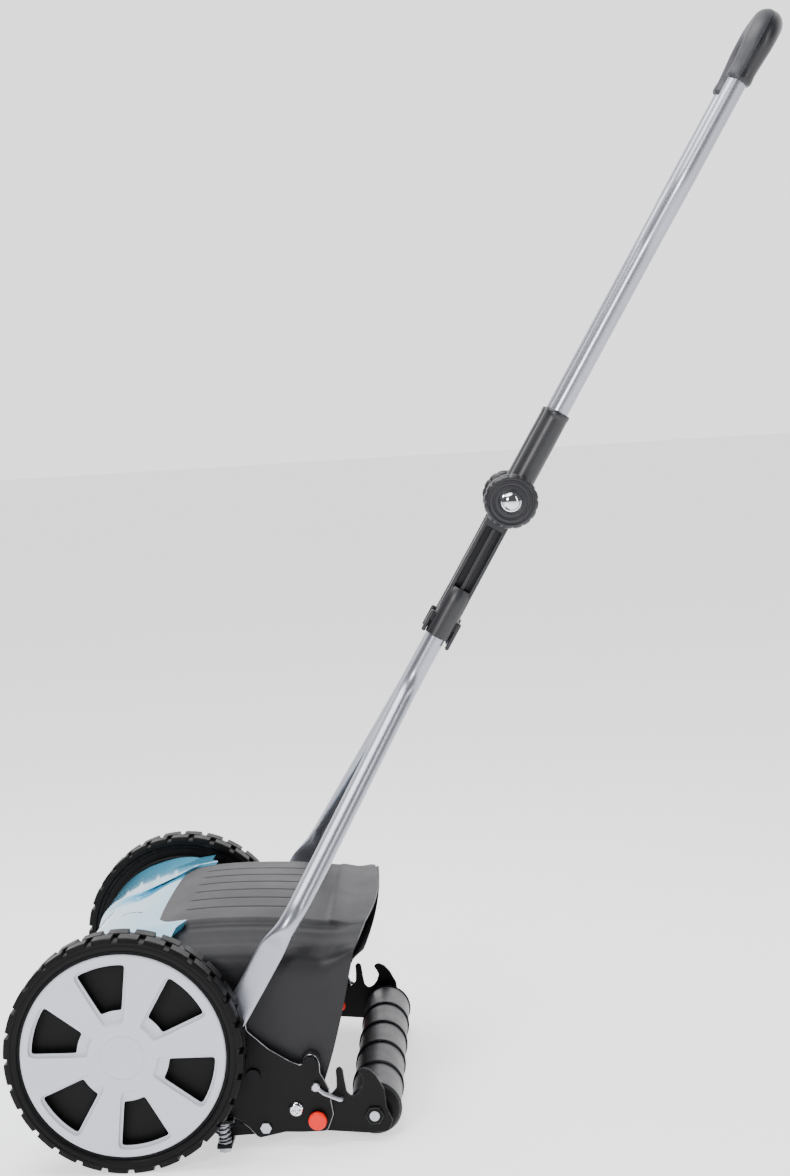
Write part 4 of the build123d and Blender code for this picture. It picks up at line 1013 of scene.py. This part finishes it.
# ---------------------------------------------------------------- handle
@dataclass
class Handle:
    """The folding handle from its flattened feet to the loop grip."""

    slope: float = 58.4
    fold: tuple[float, float, float] = (0.0, 412.7, 627.9)
    tube_r: float = 10.25
    foot_x: float = 203.5
    lower_x: float = 26.0
    upper_x: float = 46.0
    grip_x: float = 58.0
    bore_r: float = 5.2
    disc_r: float = 22.0
    grip_r: float = 16.0
    grip_bore: float = 10.4
    reach: float = 572.0
    pivot: tuple[float, float] = (105.0, 135.5)

    @property
    def along(self) -> Array:
        """Direction up the handle."""
        return np.array([0, math.cos(math.radians(self.slope)), math.sin(math.radians(self.slope))])

    @property
    def normal(self) -> Array:
        """Direction square to the handle and to X, on its front upper side."""
        return np.array([0, -self.along[2], self.along[1]])

    def at(self, x: float, reach: float, lift: float = 0.0) -> Array:
        """Point at x, up the handle from the fold and lifted from its plane."""
        return np.array(self.fold) + (x, 0, 0) + self.along * reach + self.normal * lift

    def at_height(self, x: float, z: float) -> Array:
        """Point at x where the handle's line crosses the height z."""
        return self.at(x, (z - self.fold[2]) / self.along[2])

    @staticmethod
    def resample(path: Array, spacing: float) -> Array:
        """Space points evenly along a path: straight-line reading of each coordinate over the length run."""
        run = np.concatenate([[0], np.cumsum(np.linalg.norm(np.diff(path, axis=0), axis=1))])
        at = np.linspace(0, run[-1], max(2, int(run[-1] / spacing)))
        return np.stack([np.interp(at, run, path[:, k]) for k in range(3)], -1)

    def lower_tubes(self) -> None:
        """Build the lower tubes: round above, pressed to a flat blade at the foot.

        The section is an oval whose half widths and squareness change along the path, and past the bolt its
        width falls as the square root of 1 less the square of the distance, which rounds the end.
        """
        low = rounded([(self.foot_x, self.pivot[0] - 6.9, self.pivot[1] - 11), (self.foot_x, *self.pivot),
                       (self.foot_x, 126.7, 170), (self.foot_x, 147, 203), self.at_height(self.foot_x, 232),
                       self.at_height(self.lower_x, 436), self.at(self.lower_x, -136)], 60, steps=10)
        path = self.resample(low, 2.0)
        height = path[:, 2]
        flat = 1 - smoothstep((height - 200) / 26)
        thick = self.tube_r - flat * (self.tube_r - 3.0)
        wide = self.tube_r + flat * 2.9
        # the blade's end is rounded over its last 13 mm
        end = np.clip((height - height[0]) / 13.0, 0.0, 1.0)
        wide = wide * np.sqrt(np.clip(1 - (1 - end) ** 2, 0.02, 1))
        skin = Skin()
        skin.surface(carry(path, oval(thick, wide, 2 + 2.6 * flat, 56), (1, 0, 0)), caps=True)
        skin.pair("pressed_tube", [SILVER_COAT], "lower_handle", "lower_tube", 50)

    def upper_tubes(self) -> None:
        """Build the upper tubes, which spread a little below the grip."""
        line = rounded([self.at(self.upper_x, 34), self.at(self.upper_x, 300), self.at(self.grip_x, 370),
                        self.at(self.grip_x, 515)], 160, steps=16)
        path = self.resample(line, 6.0)
        skin = Skin()
        skin.surface(carry(path, oval(self.tube_r, self.tube_r, count=56), (1, 0, 0)), caps=True)
        skin.pair("bent_tube", [SILVER_COAT], "upper_handle", "upper_tube", 50)

    def block(self, skin: Skin, x: tuple[float, float], reach: tuple[float, float], lift: tuple[float, float],
              corner: float) -> None:
        """Add a bar along the handle with rounded corners and ends.

        Args:
            skin: skin that gets the bar.
            x: its lowest and highest x.
            reach: its ends along the handle.
            lift: its lowest and highest lift from the handle's plane.
            corner: radius of its long corners.
        """
        half_x, half_n = (x[1] - x[0]) / 2, (lift[1] - lift[0]) / 2
        section = rounded([(-half_x, -half_n), (half_x, -half_n), (half_x, half_n), (-half_x, half_n)],
                          corner, closed=True, steps=4)
        middle = ((x[0] + x[1]) / 2, (lift[0] + lift[1]) / 2)
        soft = min(1.0, corner)
        places = [(reach[0], soft), (reach[0] + soft, 0), (reach[1] - soft, 0), (reach[1], soft)]
        path = np.stack([self.at(middle[0], s, middle[1]) for s, _ in places])
        scale = np.stack([section * (1 - inset / half_x, 1 - inset / half_n) for _, inset in places])
        skin.surface(carry(path, scale, (1, 0, 0)), caps=True)

    def lower_sleeves(self) -> None:
        """Build the lower sleeves: lap disc, ribbed channel, tube socket and cable fins."""
        skin = Skin()
        disc = np.array([(14.2, self.bore_r), (14.2, 21), (15.0, self.disc_r), (31.2, self.disc_r),
                         (32, 21.2), (32, self.bore_r)])
        skin.surface(lathe(disc, self.fold[1:], full_turn(64)), close_rows=True)
        self.block(skin, (14.2, 18.6), (-134, -14), (-13, 13), 1.6)
        self.block(skin, (14.2, 32), (-134, -14), (9.2, 13), 1.4)
        self.block(skin, (14.2, 32), (-134, -14), (-13, -9.2), 1.4)
        self.block(skin, (14.2, 30), (-128, -12), (-2.0, 2.0), 0.9)
        self.block(skin, (14.2, 32), (-36, -14), (-13, 13), 3.0)
        ends = np.array([-165.0, -164.2, -124.0, -114.0, -108.0])
        radii = np.array([12.8, 13.5, 13.5, 13.2, 11.0])
        path = np.stack([self.at(self.lower_x, s) for s in ends])
        skin.surface(carry(path, np.stack([oval(r, r, 2.0, 48) for r in radii]), (1, 0, 0)), caps=True)
        for sign in (1, -1):
            low, high = sorted((sign * 13.9, sign * 18.2))
            self.block(skin, (self.lower_x - 5, self.lower_x + 5), (-173 if sign < 0 else -166, -142),
                       (low, high), 2.0)
            near, far = sorted((sign * 12.0, sign * 16.0))
            self.block(skin, (self.lower_x - 4, self.lower_x + 4), (-153, -142), (near, far), 1.6)
        skin.pair("ribbed_sleeve", [SLEEVE_ABS], "lower_handle", "lower_sleeve")

    def upper_sleeves(self) -> None:
        """Build the upper sleeves: lap disc and a socket with a rolled mouth."""
        skin = Skin()
        disc = np.array([(32.4, self.bore_r), (32.4, 21), (33.2, self.disc_r), (58.6, self.disc_r),
                         (59.5, 21), (59.5, self.bore_r)])
        skin.surface(lathe(disc, self.fold[1:], full_turn(64)), close_rows=True)
        ends = [(8, 13.4), (60, 13.4), (96, 13.2), (99, 13.2), (100, 13.6), (103.6, 13.6), (104.6, 13.0),
                (105, 12.0), (105, 10.4), (90, 10.35)]
        turn = full_turn(56)[:, None]
        ring = np.cos(turn) * (1, 0, 0) + np.sin(turn) * self.normal
        skin.surface(np.stack([self.at(self.upper_x, s) + r * ring for s, r in ends]), caps=True)
        skin.pair("socket_sleeve", [SLEEVE_ABS], "upper_handle", "upper_sleeve")

    def knobs(self) -> None:
        """Build the scalloped knobs with ringed faces, and their domed bolts."""
        x = 59.8
        profile = np.array([(x, self.bore_r), (x, self.disc_r), (x + 0.8, 25.5), (x + 2.4, 27.6),
                            (x + 4, 28.5), (x + 11.4, 28.5), (x + 13.6, 27.8), (x + 15.2, 26.2),
                            (x + 15.9, 24.8), (x + 14.9, 24.1), (x + 14.7, 22.6), (x + 15.6, 22.0),
                            (x + 15.8, 19.6), (x + 14.9, 19.0), (x + 14.7, 17.2), (x + 15.6, 16.6),
                            (x + 15.8, 13.6), (x + 14.6, 12.6), (x + 14.2, 11.4), (x + 14.2, self.bore_r)])
        weight = np.clip((profile[:, 1] - 23.5) / 4.0, 0, 1)

        def scallop(rows: Array, turn: Array) -> Array:
            """Sixteen narrow hollows: half of 1 plus the cosine of 16 turns, to the fifth power."""
            return -0.9 * weight[rows] * ((1 + np.cos(16 * turn)) / 2) ** 5

        bolt = np.array([(8.6, 0), (8.6, 4.6), (9.2, 4.95), (x + 14.3, 4.95), (x + 14.3, 10.8),
                         (x + 15.1, 11), (x + 16.0, 10.6), (x + 16.3, 9.4), (x + 17.8, 8.6),
                         (x + 19.3, 6.6), (x + 20.2, 4.0), (x + 20.5, 0)])
        knob, stud = Skin(), Skin()
        knob.surface(lathe(profile, self.fold[1:], full_turn(192), scallop), close_rows=True)
        knob.pair("scalloped_knob", [SLEEVE_ABS], "knob_{}", "fold_knob", 40)
        stud.surface(lathe(bolt, self.fold[1:], full_turn(48)))
        stud.pair("domed_bolt", [CHROME], "knob_{}", "fold_bolt", 40)

    def grip(self) -> None:
        """Build the loop grip in two halves.

        Each half is the space between an outer and an inner half oval, carried round the loop. The outer one
        swells from a narrow neck at each foot to the full grip.
        """
        top = self.reach - self.grip_r
        line = rounded([self.at(self.grip_x, 485.6), self.at(self.grip_x, top), self.at(-self.grip_x, top),
                        self.at(-self.grip_x, 485.6)], 36, steps=18)
        path = self.resample(line, 2.5)
        run = np.concatenate([[0], np.cumsum(np.linalg.norm(np.diff(path, axis=0), axis=1))])
        from_end = np.minimum(run, run[-1] - run)
        outer_r = curve_through([(0, 12.4), (1.5, 13.4), (5, 13.7), (12, 13.2), (24, 13.8), (44, 15.2),
                                 (70, self.grip_r), (400, self.grip_r)], from_end).clip(max=self.grip_r)
        arc = np.linspace(0, math.pi, 25)
        rim = 0.25 * (1 - np.sin(arc))
        # a half's edges are drawn in a little, so that the seam reads as a fine line
        soft = 1 - 0.035 * np.exp(-(np.minimum(arc, math.pi - arc) / 0.10) ** 2)
        for place, sign, finish in (("front", 1, GRIP_SOFT), ("rear", -1, GRIP_HARD)):
            u, v = np.cos(arc), sign * np.sin(arc)
            inside = self.grip_bore * np.stack([u, v], -1)[::-1] + np.stack([0 * rim, sign * rim], -1)
            outlines = []
            for r in outer_r:
                outside = np.stack([r * soft * u, r * soft * v + sign * rim], -1)
                outlines.append(np.concatenate([outside, inside]))
            skin = Skin()
            skin.surface(self.loop_grid(path, np.stack(outlines)), caps=True)
            skin.build(f"grip_shell_{place}", [finish], "upper_handle", [f"grip_{place}"], sharp=50)

    def loop_grid(self, path: Array, outlines: Array) -> Array:
        """Carry outlines round the loop: u lies in the loop's plane and v stands square to it.

        Args:
            path: points round the loop.
            outlines: an outline of (u, v) for each point.

        Returns:
            Grid of points: path + (tangent x normal) * u + normal * v.
        """
        tangent = np.gradient(path, axis=0)
        tangent /= np.linalg.norm(tangent, axis=1, keepdims=True)
        across = np.cross(tangent, self.normal)
        return path[:, None] + outlines[..., :1] * across[:, None] + outlines[..., 1:] * self.normal

    def make(self) -> None:
        """Build the handle."""
        for build in (self.lower_tubes, self.upper_tubes, self.lower_sleeves, self.upper_sleeves, self.knobs,
                      self.grip):
            build()


# ---------------------------------------------------------------- studio
@dataclass
class Studio:
    """Pale sweep, soft boxes and the camera."""

    eye: tuple[float, float, float] = (2.2165, 0.3661, 0.7303)
    yaw: float = -1.8063
    pitch: float = 5.0496
    roll: float = 3.5
    lens: float = 63.31
    sensor: float = 36.0
    wall_glow: float = 2.0
    room_glow: float = 0.12

    def floor(self) -> None:
        """Lay the paper floor: a wide flat square, a grid of two by two points."""
        reach = 30.0
        mesh = bpy.data.meshes.new("floor_paper")
        mesh.from_pydata([(-reach, -reach, 0), (reach, -reach, 0), (reach, reach, 0), (-reach, reach, 0)], [],
                         [(0, 1, 2, 3)])
        floor = bpy.data.objects.new("floor_paper", mesh)
        mesh.materials.append(PAPER.material())
        bpy.context.scene.collection.objects.link(floor)

    def box_light(self, name: str, place: Sequence[float], aim: Sequence[float], size: tuple[float, float],
                  watts: float) -> None:
        """Hang one soft box.

        Args:
            name: name of the light.
            place: where it hangs.
            aim: point that it faces.
            size: its width and height, in metres.
            watts: its power.
        """
        light = bpy.data.lights.new(name, "AREA")
        light.shape, light.size, light.size_y, light.energy = "RECTANGLE", size[0], size[1], watts
        lamp = bpy.data.objects.new(name, light)
        lamp.location = place
        lamp.rotation_euler = (Vector(aim) - Vector(place)).to_track_quat("-Z", "Y").to_euler()
        bpy.context.scene.collection.objects.link(lamp)

    def lights(self) -> None:
        """Set a room with a bright wall behind the object and a dim viewer's side, and three soft boxes."""
        world = bpy.data.worlds.new("white_room")
        world.use_nodes = True
        back = world.node_tree.nodes["Background"]
        # the glow falls smoothly from the wall's to the room's as the direction turns from -X to +X
        way = add_node(world.node_tree, "ShaderNodeTexCoord").outputs["Generated"]
        toward = add_node(world.node_tree, "ShaderNodeSeparateXYZ", None, {0: way}).outputs[0]
        glow = add_node(world.node_tree, "ShaderNodeMapRange", {"interpolation_type": "SMOOTHSTEP"},
                        {"Value": toward, "From Min": -0.75, "From Max": 0.1, "To Min": self.wall_glow,
                         "To Max": self.room_glow})
        back.inputs["Color"].default_value = linear("#fbfbfd")
        world.node_tree.links.new(glow.outputs[0], back.inputs["Strength"])
        bpy.context.scene.world = world
        self.box_light("key_box", (3.2, -1.2, 1.9), (0.1, 0.1, 0.2), (0.9, 0.9), 75)
        self.box_light("top_box", (0.3, -0.2, 2.4), (0, 0.1, 0.2), (1.8, 1.5), 62)
        self.box_light("rear_strip", (1.6, 2.6, 1.6), (0, 0.4, 0.5), (0.4, 2.0), 22)

    def camera(self) -> None:
        """Place the camera: forward from yaw and pitch, then the whole view turned about X by the roll."""
        yaw, pitch, roll = (math.radians(v) for v in (self.yaw, self.pitch, self.roll))
        forward = Vector((-math.cos(yaw) * math.cos(pitch), math.sin(yaw) * math.cos(pitch),
                          -math.sin(pitch)))
        right = Vector((math.sin(yaw), math.cos(yaw), 0))
        turn = Matrix.Rotation(-roll, 3, "X")
        forward, right = turn @ forward, turn @ right
        up = right.cross(forward)
        lens = bpy.data.cameras.new("studio_camera")
        lens.sensor_fit, lens.sensor_height, lens.lens = "VERTICAL", self.sensor, self.lens
        lens.clip_end = 100.0
        camera = bpy.data.objects.new("studio_camera", lens)
        camera.matrix_world = Matrix((
            (right.x, up.x, -forward.x, self.eye[0]), (right.y, up.y, -forward.y, self.eye[1]),
            (right.z, up.z, -forward.z, self.eye[2]), (0, 0, 0, 1)))
        bpy.context.scene.collection.objects.link(camera)
        bpy.context.scene.camera = camera

    def make(self) -> None:
        """Build the studio."""
        self.floor()
        self.lights()
        self.camera()


def dress_nodes(nodes: dict[str, bpy.types.Object], names: Iterable[str]) -> None:
    """Give each CAD node its finish.

    Args:
        nodes: node name to object.
        names: names of the nodes to dress.
    """
    for name in names:
        key = name.removesuffix("_left").removesuffix("_right")
        if key in NODE_FINISH:
            mesh = nodes[name].data
            mesh.materials.clear()
            mesh.materials.append(NODE_FINISH[key].material())


def main() -> None:
    """Load the frame, give its nodes their finishes, and build each sub-assembly."""
    logging.basicConfig(level=logging.INFO, format="%(message)s")
    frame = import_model()
    dress_nodes(frame["nodes"], sorted(frame["nodes"]))
    for assembly in (Wheel(), Covers(), Chassis(), Handle(), Studio()):
        assembly.make()


if __name__ == "__main__":
    main()
